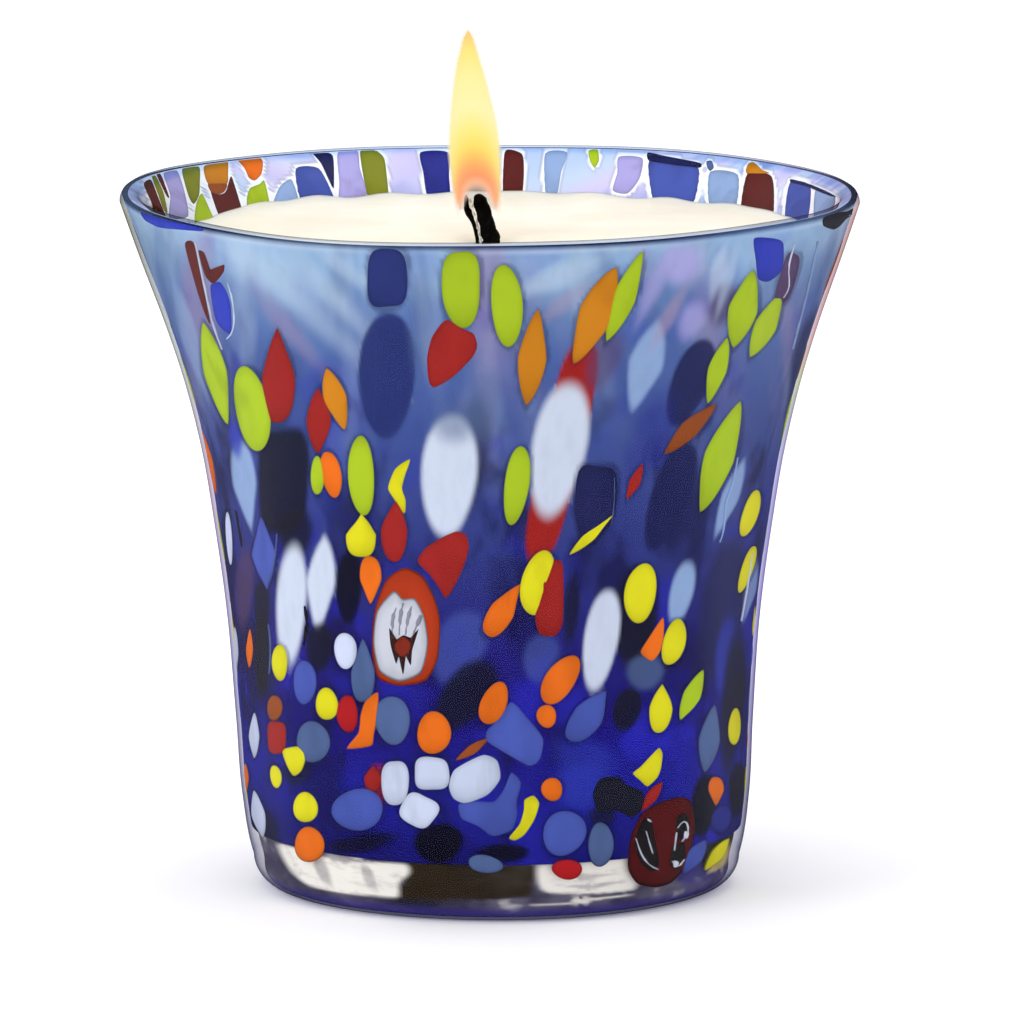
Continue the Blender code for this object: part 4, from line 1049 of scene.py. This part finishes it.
class ChipMesh:
    """Collects the lens-shaped chips of one paint into a single mesh."""

    def __init__(self):
        self.vertices, self.faces, self.edge, self.tone, self.along = [], [], [], [], []

    def add(self, place, width, length, lean, form, tone):
        """A chip of a simple form; place(x, y, depth) turns millimetres into points on the wall."""
        sides = 36
        angle = np.arange(sides) * 2 * np.pi / sides
        reach = outline_reach(angle, form, (tone * 17.0, tone * 31.0))
        u = reach * np.cos(angle) * width / 2
        v = reach * np.sin(angle) * length / 2
        slope = math.radians(lean)
        across = u * math.cos(slope) + v * math.sin(slope)
        along = v * math.cos(slope) - u * math.sin(slope)
        self.add_outline(place, np.stack([across, along], axis=1), tone)

    def add_outline(self, place, outline, tone):
        """A chip inside an anticlockwise outline round (0, 0)."""
        sides = len(outline)
        start = len(self.vertices)
        low, high = outline[:, 1].min(), outline[:, 1].max()
        rings = ((0.0, 1.0), (0.45, 0.93), (0.75, 0.72), (0.92, 0.40), (1.0, 0.0))
        layers = [(share, -(CHIP_CROWN * crown - CHIP_SINK)) for share, crown in rings]
        layers += [(0.9, CHIP_DEPTH), (0.0, CHIP_DEPTH)]
        for share, depth in layers:
            count = 1 if share == 0.0 else sides
            flat = outline[:count] * share
            self.vertices.extend(place(flat[:, 0], flat[:, 1], depth).tolist())
            self.edge.extend([share] * count)
            self.tone.extend([tone] * count)
            self.along.extend(((flat[:, 1] - low) / (high - low)).tolist())
        first = start + 1
        faces = [(start, first + i, first + (i + 1) % sides) for i in range(sides)]
        for ring in range(len(layers) - 3):
            near = first + ring * sides
            far = near + sides
            for i in range(sides):
                k = (i + 1) % sides
                faces.append((near + i, far + i, far + k, near + k))
        last_ring = first + (len(layers) - 3) * sides
        last = last_ring + sides
        faces += [(last, last_ring + (i + 1) % sides, last_ring + i) for i in range(sides)]
        self.faces.extend(faces)

    def add_thread(self, place, points, width, tone):
        """A thin drawn thread along a line of points, pointed at both ends."""
        corners = np.asarray(points, dtype=float)
        spans = np.concatenate([[0.0], np.cumsum(np.hypot(*np.diff(corners, axis=0).T))])
        count = max(8, int(spans[-1] / 0.8))
        places = np.linspace(0, spans[-1], count)
        line = np.stack([np.interp(places, spans, values) for values in corners.T], axis=1)
        for _ in range(2):
            line[1:-1] = (line[:-2] + 2 * line[1:-1] + line[2:]) / 4
        heading = np.gradient(line, axis=0)
        heading /= np.hypot(heading[:, 0], heading[:, 1])[:, None]
        across = np.stack([-heading[:, 1], heading[:, 0]], axis=1)
        uneven = 0.8 + 0.3 * np.sin(places * 2.1 + 9 * tone) + 0.2 * np.sin(places * 4.7)
        half = (width / 2 * uneven * np.sin(np.linspace(0.12, np.pi - 0.12, count)) ** 0.4)[:, None]
        start = len(self.vertices)
        quarters = ((half, 0.02 * MM), (0 * half, -0.15 * MM), (-half, 0.02 * MM), (0 * half, 0.2 * MM))
        corners = []
        for offset, depth in quarters:
            flat = line + across * offset
            corners.append(place(flat[:, 0], flat[:, 1], depth))
        for i in range(count):
            for quarter in corners:
                self.vertices.append(quarter[i].tolist())
                self.edge.append(0.5)
                self.tone.append(tone)
                self.along.append(0.6)
        for i in range(count - 1):
            for k in range(4):
                a, b = start + 4 * i + k, start + 4 * i + (k + 1) % 4
                self.faces.append((a, b, b + 4, a + 4))
        self.faces.append((start + 3, start + 2, start + 1, start))
        end = start + 4 * (count - 1)
        self.faces.append((end, end + 1, end + 2, end + 3))

    def build(self, name, material, slot, replaced=()):
        """Make the mesh, with its material, in place of the CAD nodes that it stands for; the slot is not
        used.
        """
        obj = new_object(name, self.vertices, self.faces)
        store(obj, "edge", self.edge)
        store(obj, "tone", self.tone)
        store(obj, "along", self.along)
        obj.data.materials.append(material)
        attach(obj, "glass")
        if replaced:
            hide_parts(*replaced)
        return obj


def front_place(across, up, lift=0.0):
    """Places a chip on the outside of the front wall by where it is seen."""
    def place(x, y, depth):
        bearing, height = front_hit((across + x) * MM, (up + y) * MM)
        return on_wall(bearing, np.minimum(height, CHIP_TOP), SKIN + depth - lift)
    return place


def wall_place(bearing, height):
    """Places a chip by its bearing and height on the outside of the wall."""
    def place(x, y, depth):
        level = np.minimum(height + y * MM, CHIP_TOP)
        return on_wall(bearing + x * MM / station_radius(height), level, SKIN + depth)
    return place


def inside_place(bearing, height):
    """Places a chip by its bearing and height on the inside of the wall."""
    def place(x, y, depth):
        level = np.minimum(height + y * MM, CHIP_TOP)
        angle = bearing - x * MM / station_radius(height)
        return on_wall(angle, level, lining_inset(angle, level) - depth)
    return place


def rear_place(across, up):
    """Places a chip on the inside of the rear wall by where it is seen."""
    def place(x, y, depth):
        bearing, height = inside_hit((across + x) * MM, (up + y) * MM)
        height = np.minimum(height, REAR_CHIP_TOP)
        return on_wall(bearing, height, lining_inset(bearing, height) - depth)
    return place


def scattered_chips(count, low, high, first, last, gap):
    """Random chips that keep clear of each other: (bearing, height, width, length, paint, tone)."""
    chips = []
    tries = 0
    while len(chips) < count and tries < MOST_TRIES:
        tries += 1
        bearing = RNG.uniform(first, last)
        height = RNG.uniform(low, high)
        rise = (height - low) / (high - low)
        width = RNG.uniform(3.6, 5.6) if len(chips) < 0.4 * count else RNG.uniform(1.8, 4.2)
        length = width * RNG.uniform(1.0, 1.6) * (1 + 1.1 * rise)
        half = length * MM / 2
        if height + half > COLOUR_TOP - 1.0 * MM or height - half < COLOUR_LOW:
            continue
        radius = station_radius(height)
        if any(abs(bearing - other[0]) * radius / MM < (width + other[2]) / 2 + gap
               and abs(height - other[1]) / MM < (length + other[3]) / 2 + gap for other in chips):
            continue
        paints = HIGH_PAINTS if rise > 0.45 else LOW_PAINTS
        chips.append((bearing, height, width, length, paints[RNG.integers(len(paints))], RNG.random()))
    return chips


MOST_TRIES = 6000
HIGH_PAINTS = ("lime", "ochre", "red", "lime", "navy", "pale", "white", "rust")
LOW_PAINTS = ("yellow", "orange", "periwinkle", "white", "slate", "crimson", "dark", "yellow", "periwinkle")
BACK_CHIPS = scattered_chips(210, 9.5 * MM, 88.0 * MM, math.radians(83), math.radians(277), 0.1)
BLURS = ("white", "navy", "pale", "dark", "red", "periwinkle", "navy", "slate", "azure", "black")
# Bearing, height, width, length, lean, paint and softness of the blurs of the sides and back.
BACK_BLURS = [
    (RNG.uniform(1.5, 4.8), RNG.uniform(12.0, 78.0), RNG.uniform(3.5, 7.0), RNG.uniform(6.0, 16.0),
     RNG.uniform(-16, 16), BLURS[i % len(BLURS)], RNG.uniform(0.1, 0.3)) for i in range(80)]
INSIDE_CHIPS = scattered_chips(60, 30.0 * MM, 88.0 * MM, math.radians(-64), math.radians(64), 1.5)
FORMS = (OVAL, DROP, DRIP, LEAF, BLOCK)


def paint_back(patches, bearing, height):
    """Blurs, and painted shade as dark outlines round the scattered chips, of the sides and back."""
    radius = station_radius(height)
    level = height / MM
    positive = bearing % (2 * np.pi)
    for centre, z0, width, length, lean, paint, soft in BACK_BLURS:
        near = nearness((positive - centre) * radius / MM, level - z0, width, length, lean, OVAL)
        blend_patch(patches, soft_cover(near, soft, 0.9), PAINTS[paint])
    # Painted shade: a dark ring round each scattered chip.
    for centre, z0, width, length, _, _ in BACK_CHIPS:
        x = (positive - centre) * radius / MM
        near = nearness(x, level - z0 / MM, width + 0.5, length + 0.5, 0.0, OVAL)
        blend_patch(patches, 0.5 * (1 - smoothstep(0.95, 1.2, near)), OUTLINE_SHADE)


# The record's slot of each paint that has no slot of its own name.
SLOTS = {
    "royal": "glass_navy", "crimson": "glass_red", "pale": "glass_white", "azure": "glass_periwinkle",
    "olive": "glass_lime", "rust": "glass_orange", "plum": "glass_maroon", "lilac": "glass_periwinkle",
    "indigo": "glass_navy", "black": "glass_dark",
}


def glass_chips():
    """All chips, one mesh per paint, standing for the CAD chips of that colour."""
    groups = defaultdict(ChipMesh)
    for paint, across, up, width, length, lean, form in FRONT_CHIPS:
        place = front_place(across, up)
        groups[paint].add(place, FULLNESS * width, FULLNESS * length, lean, form, RNG.random())
    for paint, middle, outline in SHAPED_CHIPS:
        groups[paint].add_outline(front_place(*middle), rounded(outline, middle), RNG.random())
    for paint, width, points in THREADS:
        groups[paint].add_thread(front_place(0.0, 0.0, THREAD_LIFT), points, width, RNG.random())
    for paint, middle, outline in REAR_CHIPS:
        groups[paint].add_outline(rear_place(*middle), rounded(outline, middle), 0.6 * RNG.random())
    for chips, place, swing in ((BACK_CHIPS, wall_place, 50), (INSIDE_CHIPS, inside_place, 10)):
        for bearing, height, width, length, paint, tone in chips:
            form = FORMS[int(tone * len(FORMS)) % len(FORMS)]
            groups[paint].add(place(bearing, height), width, length, swing * (tone - 0.5), form, tone)
    for paint in sorted(groups):
        nodes = [name for name in frame["nodes"] if name.startswith("chip_" + paint + "_")]
        slot = SLOTS.get(paint, "glass_" + paint)
        groups[paint].build("chips_" + paint, chip_glass(paint, PAINTS[paint]), slot, nodes)
    chips = [name for name in frame["nodes"] if name.startswith("chip_")]
    missing = [name for name in chips if name.split("_")[1] not in groups]
    if missing:
        raise ValueError("no chips stand for " + ", ".join(missing))


# ---------------------------------------------------------------- murrine
def cane_slice(name, paint, parts, lift, slot, replaced=()):
    """One layer of a cane slice: shaped pieces of one colour. Parts are (middle, outline) pairs."""
    mesh = ChipMesh()
    for middle, outline in parts:
        mesh.add_outline(front_place(*middle, lift * MM), rounded(outline, middle), 0.3)
    return mesh.build(name, chip_glass(name, paint), slot, replaced)


def cane_threads(name, paint, width, lines, lift, slot):
    """One layer of a cane slice: drawn threads of one colour."""
    mesh = ChipMesh()
    for line in lines:
        mesh.add_thread(front_place(0.0, 0.0, lift * MM), line, width, 0.3)
    return mesh.build(name, chip_glass(name, paint), slot)


def star_murrina():
    """Cane slice: a pale lobed disc in an orange-red ring, with a drawn-out star in its middle."""
    cane_slice("star_ring", display(178, 54, 16), (
        ((-11.2, 33.2), ((-11.4, 41.6), (-9.0, 40.4), (-7.4, 37.4), (-6.7, 34.4), (-7.0, 29.4),
            (-8.6, 26.4), (-12.0, 25.7), (-14.9, 26.8), (-15.7, 31.0), (-15.3, 36.0), (-13.8, 40.0))),
    ), 0.02, "glass_orange")
    cane_slice("star_disc", display(202, 206, 218), (
        ((-11.8, 32.2), ((-12.8, 38.4), (-11.6, 37.4), (-10.0, 37.4), (-8.8, 35.0), (-8.3, 31.4),
            (-9.2, 27.6), (-12.0, 26.4), (-14.6, 27.8), (-15.4, 31.6), (-14.9, 35.8))),
    ), 0.14, "glass_white", ("star_murrina",))
    cane_threads("star_flutes", display(140, 140, 156), 0.90, (
        ((-12.9, 32.2), (-12.9, 34.6), (-12.4, 36.2)), ((-12.0, 32.6), (-11.9, 35.0), (-11.5, 36.8)),
        ((-11.2, 32.6), (-10.9, 34.8), (-10.4, 36.4)), ((-10.2, 32.6), (-9.7, 34.0), (-9.2, 35.2)),
    ), 0.18, "glass_slate")
    cane_slice("star_spikes", display(48, 22, 20), (
        ((-11.6, 31.0), ((-13.3, 33.6), (-13.1, 31.2), (-12.4, 28.8), (-12.1, 29.9), (-11.5, 27.4),
            (-11.1, 29.8), (-10.5, 28.6), (-10.3, 30.6), (-9.5, 33.4), (-10.2, 32.2), (-11.5, 32.6),
            (-12.7, 31.9))),
    ), 0.26, "glass_maroon")
    cane_slice("star_heart", display(128, 38, 20), (
        ((-11.5, 31.1), (
            (-12.6, 31.5), (-11.6, 32.4), (-10.5, 31.8), (-10.6, 30.4), (-11.5, 29.6), (-12.4, 30.3))),
    ), 0.32, "glass_red")


def red_murrina():
    """Dark red cane slice with two clear, dark windows outlined in white."""
    cane_slice("red_slice", display(80, 8, 11), (
        ((22.2, 5.4), ((24.4, 11.2), (26.0, 10.6), (26.6, 7.0), (25.6, 2.4), (23.6, -0.2), (21.4, -0.9),
            (19.0, -0.4), (17.8, 1.6), (18.0, 5.4), (19.4, 8.8), (21.8, 10.4))),
    ), 0.02, "glass_maroon", ("red_murrina",))
    cane_slice("red_windows", display(20, 16, 20), (
        ((19.8, 4.6), (
            (19.4, 7.6), (20.6, 8.4), (21.2, 5.8), (21.8, 2.2), (20.8, 1.2), (19.4, 2.4), (18.6, 4.8))),
        ((24.6, 7.0), ((24.0, 8.2), (25.2, 9.0), (25.8, 7.4), (25.4, 5.6), (24.2, 5.6))),
        ((24.3, 3.2), ((23.6, 4.6), (25.0, 5.0), (25.2, 3.2), (24.2, 1.4), (23.2, 2.2))),
    ), 0.14, "glass_dark")
    cane_threads("red_seams", display(206, 210, 226), 0.30, (
        ((18.7, 5.6), (19.4, 3.4), (20.5, 1.8), (21.6, 1.5)), ((20.0, 6.6), (20.4, 5.2), (20.9, 3.6)),
        ((24.1, 7.0), (24.8, 8.3), (25.6, 7.7), (25.5, 6.0), (24.7, 5.2)), ((23.7, 4.0), (24.0, 6.4)),
        ((23.4, 2.6), (24.2, 1.7), (25.0, 2.8)), ((20.2, 8.2), (20.7, 7.8)),
    ), 0.22, "glass_white")
    cane_slice("red_spots", display(214, 216, 230), (
        ((25.2, 6.1), ((25.0, 6.6), (25.6, 6.4), (25.4, 5.6), (24.9, 5.7))),
        ((23.9, 2.2), ((23.6, 2.7), (24.3, 2.5), (24.1, 1.8), (23.6, 1.8))),
    ), 0.22, "glass_white")


# ---------------------------------------------------------------- candle
def cream_wax():
    """Smooth, slightly translucent cream wax."""
    n = Nodes("cream_wax")
    cloud = n.noise(n.place(), 60, 4, 0.55)
    colour = n.ramp(cloud, ((0.35, display(230, 221, 202)), (0.65, display(241, 234, 218))))
    frost = n.noise(n.place(), 900, 3, 0.6)
    return n.finish(n.principled(
        Base_Color=colour, Roughness=0.5, Subsurface_Weight=0.35, Subsurface_Radius=(0.9, 0.6, 0.35),
        Subsurface_Scale=0.004, Normal=n.bump(frost, 0.12, 0.15 * MM)))


def wax_body():
    """Set wax: nearly level, clinging unevenly to the glass, with a shallow well round the wick."""
    turn = bearings(288)
    waver = 0.5 * np.sin(5 * turn + 1) * np.sin(2 * turn) + 0.35 * np.sin(23 * turn) * np.sin(3 * turn)
    cling = WAX_CLIMB * (0.8 + waver)
    ripple = 0.10 * MM * (np.sin(3 * turn + 1.0) + 0.5 * np.sin(8 * turn))
    edge = inner_radius(turn, WAX_LEVEL + WAX_CLIMB) - 0.12 * MM
    rows = [(WICK_HOLE, WICK_ROOT.z - 3.0 * MM), (WICK_HOLE, WICK_ROOT.z)]
    rows.append((2.0 * MM, WICK_ROOT.z + 0.15 * MM))
    for radius, drop in ((2.8, 0.72), (3.8, 0.35), (5.0, 0.12), (7.0, 0.0), (12.0, 0.0), (20.0, 0.0),
                         (27.0, 0.0), (32.0, 0.0)):
        rows.append((radius * MM, WAX_LEVEL - drop * MM + ripple * min(1.0, radius / 20)))
    for back, share in ((3.0, 0.0), (1.6, 0.12), (0.8, 0.35), (0.25, 0.75), (0.0, 1.0)):
        rows.append((edge - back * MM, WAX_LEVEL + ripple + cling * share))
    for height in np.linspace(WAX_LEVEL - 0.5 * MM, WAX_FLOOR + 4 * MM, 30):
        rows.append((inner_radius(turn, height) - WAX_GAP, height))
    corner = inner_radius(turn, WAX_FLOOR + WAX_CORNER) - WAX_GAP - WAX_CORNER
    for angle in np.radians((-20, -50, -80, -90)):
        rows.append((corner + WAX_CORNER * np.cos(angle), WAX_FLOOR + WAX_CORNER * (1 + np.sin(angle))))
    sustainer_low, sustainer_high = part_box("wick_sustainer")
    recess = sustainer_high[0] + 0.3 * MM
    recess_top = sustainer_low[2] + 0.7 * MM
    neck_top = sustainer_high[2] + 0.3 * MM
    rows += [(recess, WAX_FLOOR), (recess, recess_top), (NECK_HOLE, recess_top), (NECK_HOLE, neck_top),
             (1.6 * MM, neck_top)]
    wax = ring_solid("wax_body", turned(turn, rows))
    wax.data.materials.append(cream_wax())
    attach(wax, "candle")
    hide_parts("wax_fill")


def strand_mesh(name, path, radii, lobes, turns, roughness, sides=28):
    """Twisted strand along a path: a lobed section that turns as it climbs."""
    path = np.asarray(path)
    count = len(path)
    tangent = np.gradient(path, axis=0)
    tangent /= np.linalg.norm(tangent, axis=1, keepdims=True)
    side = np.cross(tangent, np.array([0.0, 1.0, 0.0]))
    side /= np.linalg.norm(side, axis=1, keepdims=True)
    depth = np.cross(side, tangent)
    angle = bearings(sides)
    rows = []
    for i in range(count):
        phase = turns * 2 * np.pi * i / (count - 1)
        lobe = 1 + 0.16 * np.abs(np.sin(lobes * (angle + phase) / 2)) - 0.10
        grain = 1 + roughness * RNG.uniform(-1, 1, sides)
        radius = (radii[i] * lobe * grain)[:, None]
        around = np.cos(angle)[:, None] * side[i] + np.sin(angle)[:, None] * depth[i]
        rows.append(path[i] + radius * around)
    return capped_solid(name, np.array(rows))


def charred():
    """Matt charred cotton."""
    stops = ((0.50, (0.0012, 0.0012, 0.0012)), (0.80, (0.010, 0.009, 0.008)))
    return grained("charred_wick", (2600, 4, 0.7), stops, (0.6, 0.1 * MM), Roughness=0.9,
                   Specular_IOR_Level=0.05)


def pale_thread():
    """Pale twisted core thread."""
    stops = ((0.40, display(150, 146, 140)), (0.60, display(240, 238, 232)))
    return grained("pale_thread", (1800, 3, 0.6), stops, Roughness=0.8, Specular_IOR_Level=0.2)


def wick_route(points, forward=0.0, count=60):
    """Smooth path through (across, height above the wax root) places, in millimetres."""
    corners = np.asarray(points, dtype=float)
    t = np.linspace(corners[0, 1], corners[-1, 1], count)
    across = np.interp(t, corners[:, 1], corners[:, 0])
    for _ in range(3):
        across[1:-1] = (across[:-2] + 2 * across[1:-1] + across[2:]) / 4
    return [(x * MM, forward * MM, WICK_ROOT.z + z * MM) for x, z in zip(across, t)]


def exposed_wick():
    """Charred braid: a thick strand with a step in it, a thin one on the left and a pale thread between."""
    route = ((-0.10, -0.8), (-0.14, 1.0), (-0.62, 2.6), (-1.02, 4.2), (-1.50, 5.7), (-2.00, 6.75))
    thick_path = wick_route(route)
    t = np.linspace(-0.8, 6.75, len(thick_path))
    swell = 1.14 - 0.16 * smoothstep(1.2, 3.0, t) - 0.06 * smoothstep(4.0, 6.0, t)
    ends = np.sqrt(np.clip((6.80 - t) / 0.9, 0, 1)) * 0.85 + 0.15
    thick = strand_mesh("char_strand_thick", thick_path, swell * ends * MM, 3, 1.4, 0.05)
    route = ((-1.86, -0.8), (-1.88, 0.7), (-2.14, 2.2), (-2.74, 3.9), (-3.30, 4.9), (-3.40, 6.7))
    thin_path = wick_route(route)
    t = np.linspace(-0.8, 6.7, len(thin_path))
    ends = np.sqrt(np.clip((6.75 - t) / 0.5, 0, 1)) * 0.9 + 0.1
    girth = (0.26 + 0.20 * np.exp(-((t - 4.4) / 0.9) ** 2)) * ends
    thin = strand_mesh("char_strand_thin", thin_path, girth * MM, 2, 2.0, 0.10)
    route = ((-1.50, -0.6), (-1.52, 1.0), (-1.80, 2.4), (-2.18, 3.7), (-2.64, 5.2), (-2.92, 6.3))
    thread_path = wick_route(route, -0.55)
    beads = 0.12 + 0.06 * np.abs(np.sin(np.linspace(0, 24, len(thread_path))))
    thread = strand_mesh("core_thread", thread_path, beads * MM, 2, 6.0, 0.10, sides=12)
    for obj, node, slot, material in ((thick, "wick_strand_thick", "charred_cotton", charred()),
                                      (thin, "wick_strand_thin", "charred_cotton", charred()),
                                      (thread, "wick_core_tip", "core_thread", pale_thread())):
        obj.data.materials.append(material)
        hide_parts(node)
        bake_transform(obj)


def hidden_fittings():
    """Procedural finishes for the CAD pieces that stay: disc, glue pad and the buried wick."""
    tin = ((0.3, (0.50, 0.51, 0.52)), (0.7, (0.72, 0.73, 0.74)))
    glue = ((0.35, display(200, 196, 180)), (0.65, display(226, 222, 208)))
    cotton = ((0.35, display(196, 180, 150)), (0.65, display(232, 222, 200)))
    finishes = {
        "wick_sustainer": grained("pressed_tin", (1500, 3, 0.6, 6), tin, (0.1, 0.05 * MM), Metallic=1.0,
                                  Roughness=0.28),
        "adhesive_pad": grained("glue_pad", (1200, 4, 0.7), glue, (0.3, 0.1 * MM), Roughness=0.6),
    }
    for name in ("wick_braid", "wick_core"):
        finishes[name] = grained("cotton_" + name, (2200, 3, 0.6, 0.4), cotton, (0.5, 0.1 * MM),
                                 Roughness=0.8)
    for name, material in finishes.items():
        frame["nodes"][name].data.materials[0] = material


# ---------------------------------------------------------------- flame
# Height, middle across and half width of the flame, in millimetres.
FLAME_STATIONS = (
    (87.6, -1.75, 2.85), (89.0, -1.85, 3.05), (90.5, -1.95, 3.25), (92.0, -2.05, 3.45),
    (94.0, -2.15, 3.52), (96.0, -2.28, 3.6), (98.0, -2.35, 3.55), (100.0, -2.45, 3.35),
    (102.0, -2.6, 3.02), (104.0, -2.75, 2.66), (106.0, -2.88, 2.26), (108.0, -3.02, 1.78),
    (110.0, -3.06, 1.2), (111.2, -3.1, 0.88), (111.9, -3.1, 0.52), (112.3, -3.1, 0.06),
)
FLAME_FOOT = 87.6                # lowest station, in millimetres
FLAME_SPAN = 25.0


def flame_glow(name, colours, cover, feather, foot):
    """Glowing gas: an arch of colour, feathered at the sides, clear round the wick, fading at its foot."""
    n = Nodes(name)
    up = n.attribute("up")
    facing = n.facing()
    lick = n.math("MULTIPLY", n.math("SUBTRACT", n.noise(n.place(), 200, 2, 0.5, 0.25), 0.5), 0.03)
    droop = n.math("MULTIPLY", n.math("MULTIPLY", facing, n.math("SUBTRACT", 1.0, up)), 0.34)
    arched = n.math("ADD", n.math("ADD", up, lick), droop)
    clear = n.ramp(arched, ((0.148, 0.0), (0.18, 0.35), (0.215, 0.86), (0.26, 1.0)))
    alpha = n.math("MULTIPLY", n.ramp(facing, feather), clear)
    alpha = n.math("MULTIPLY", n.math("MULTIPLY", alpha, n.ramp(up, foot)), cover)
    glow = n.ramp(arched, colours)
    return n.matt((0.0, 0.0, 0.0), 1.0, Alpha=alpha, Emission_Color=glow, Emission_Strength=1.0)


def flame_rows(low, high, inset):
    """Rows of a drop from its point down to its open foot, then a shallow cup closing it inside."""
    turn = bearings(72)
    heights, middles, widths = np.array(FLAME_STATIONS).T
    rows, ups = [], []

    def add(level, thin, least):
        radius = max(np.interp(level, heights, widths) - thin, least) * MM
        across = np.interp(level, heights, middles) * MM + radius * np.sin(turn)
        rows.append(np.stack([across, -radius * np.cos(turn), np.full(len(turn), level * MM)], axis=-1))
        ups.append(np.full(len(turn), (level - FLAME_FOOT) / FLAME_SPAN))

    for level in np.linspace(high, low, 56):
        add(level, inset, 0.05)
    for level in np.linspace(low, high - 1.0, 30):
        add(level, inset + 0.2, 0.03)
    return np.array(rows), np.concatenate(ups)


def flame_part(name, shape, material):
    """Closed drop that keeps how far up the flame each of its points is."""
    rows, ups = shape
    part = capped_solid(name, rows)
    store(part, "up", np.append(ups, [ups[0], ups[-1]]))
    part.data.materials.append(material)
    return part


def flame():
    """Soft peach mantle round a bright yellow body, open below round the wick."""
    arch = ((0.10, display(246, 236, 236)), (0.165, display(250, 226, 214)), (0.20, display(255, 188, 146)),
            (0.25, display(255, 150, 86)), (0.30, display(255, 172, 84)), (0.35, display(255, 204, 84)),
            (0.40, display(255, 230, 92)), (0.48, display(255, 244, 128)), (0.60, display(255, 252, 176)),
            (0.76, display(255, 249, 158)), (0.88, display(255, 238, 118)), (0.95, display(255, 214, 116)),
            (1.0, display(255, 208, 150)))
    peach = tuple((place, tuple(0.5 * c + 0.5 * p for c, p in zip(colour, display(255, 226, 206))))
                  for place, colour in arch)
    mantle = flame_part("flame_mantle_glow", flame_rows(FLAME_FOOT, 112.3, 0.0), flame_glow(
        "flame_mantle_glow", peach, 0.40, ((0.0, 0.3), (0.45, 0.7), (0.68, 0.6), (0.94, 0.0)),
        ((0.0, 0.0), (0.08, 0.8), (0.15, 1.0))))
    body = flame_part("flame_body_glow", flame_rows(FLAME_FOOT + 0.8, 112.0, 0.36), flame_glow(
        "flame_body_glow", arch, 0.98, ((0.0, 1.0), (0.40, 1.0), (0.70, 0.6), (0.93, 0.0)),
        ((0.036, 0.0), (0.12, 0.8), (0.20, 1.0))))
    for obj, node, slot in ((mantle, "flame_mantle", "flame_outer"), (body, "flame_body", "flame_inner")):
        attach(obj, "flame")
        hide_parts(node)


# ---------------------------------------------------------------- stage
def camera():
    """Long lens, a little above the lip, square to the front."""
    data = bpy.data.cameras.new("camera")
    data.sensor_fit = "HORIZONTAL"
    data.sensor_width = 36.0
    data.lens = data.sensor_width * (EYE - TARGET).length / VIEW_WIDTH
    data.clip_end = 50.0
    obj = bpy.data.objects.new("camera", data)
    obj.location = EYE
    obj.rotation_euler = (TARGET - EYE).to_track_quat("-Z", "Y").to_euler()
    bpy.context.scene.collection.objects.link(obj)
    bpy.context.scene.camera = obj


def area_light(name, location, target, size, power):
    data = bpy.data.lights.new(name, "AREA")
    data.shape = "RECTANGLE"
    data.size, data.size_y = size
    data.energy = power
    obj = bpy.data.objects.new(name, data)
    obj.location = location
    obj.rotation_euler = (Vector(target) - Vector(location)).to_track_quat("-Z", "Y").to_euler()
    bpy.context.scene.collection.objects.link(obj)


def studio():
    """White surroundings, two soft boxes and a pale floor."""
    world = bpy.data.worlds.new("studio")
    world.use_nodes = True
    world.node_tree.nodes["Background"].inputs[0].default_value = (1.0, 1.0, 1.0, 1.0)
    world.node_tree.nodes["Background"].inputs[1].default_value = 1.0
    bpy.context.scene.world = world
    bpy.context.scene.view_settings.view_transform = "Standard"
    area_light("overhead", (0.0, 0.1, 0.9), (0.0, 0.0, 0.0), (0.8, 0.8), 2.0)
    area_light("left_box", (-0.7, -0.5, 0.5), (0.0, 0.0, 0.05), (0.4, 0.6), 2.0)
    bpy.ops.mesh.primitive_plane_add(size=12.0, location=(0.0, 4.0, 0.0))
    floor = bpy.context.object
    floor.name = "floor"
    floor.data.materials.append(grained(
        "white_floor", (3.0, 2, 0.5), ((0.3, (0.96, 0.96, 0.96)), (0.7, (0.98, 0.98, 0.98))), Roughness=0.9,
        Specular_IOR_Level=0.0, Emission_Color=(0.80, 0.80, 1.0), Emission_Strength=0.12))


camera()
studio()
clear_cup()
base_reflection_sheet()
coloured_layer()
lining()
glass_chips()
star_murrina()
red_murrina()
wax_body()
exposed_wick()
hidden_fittings()
flame()
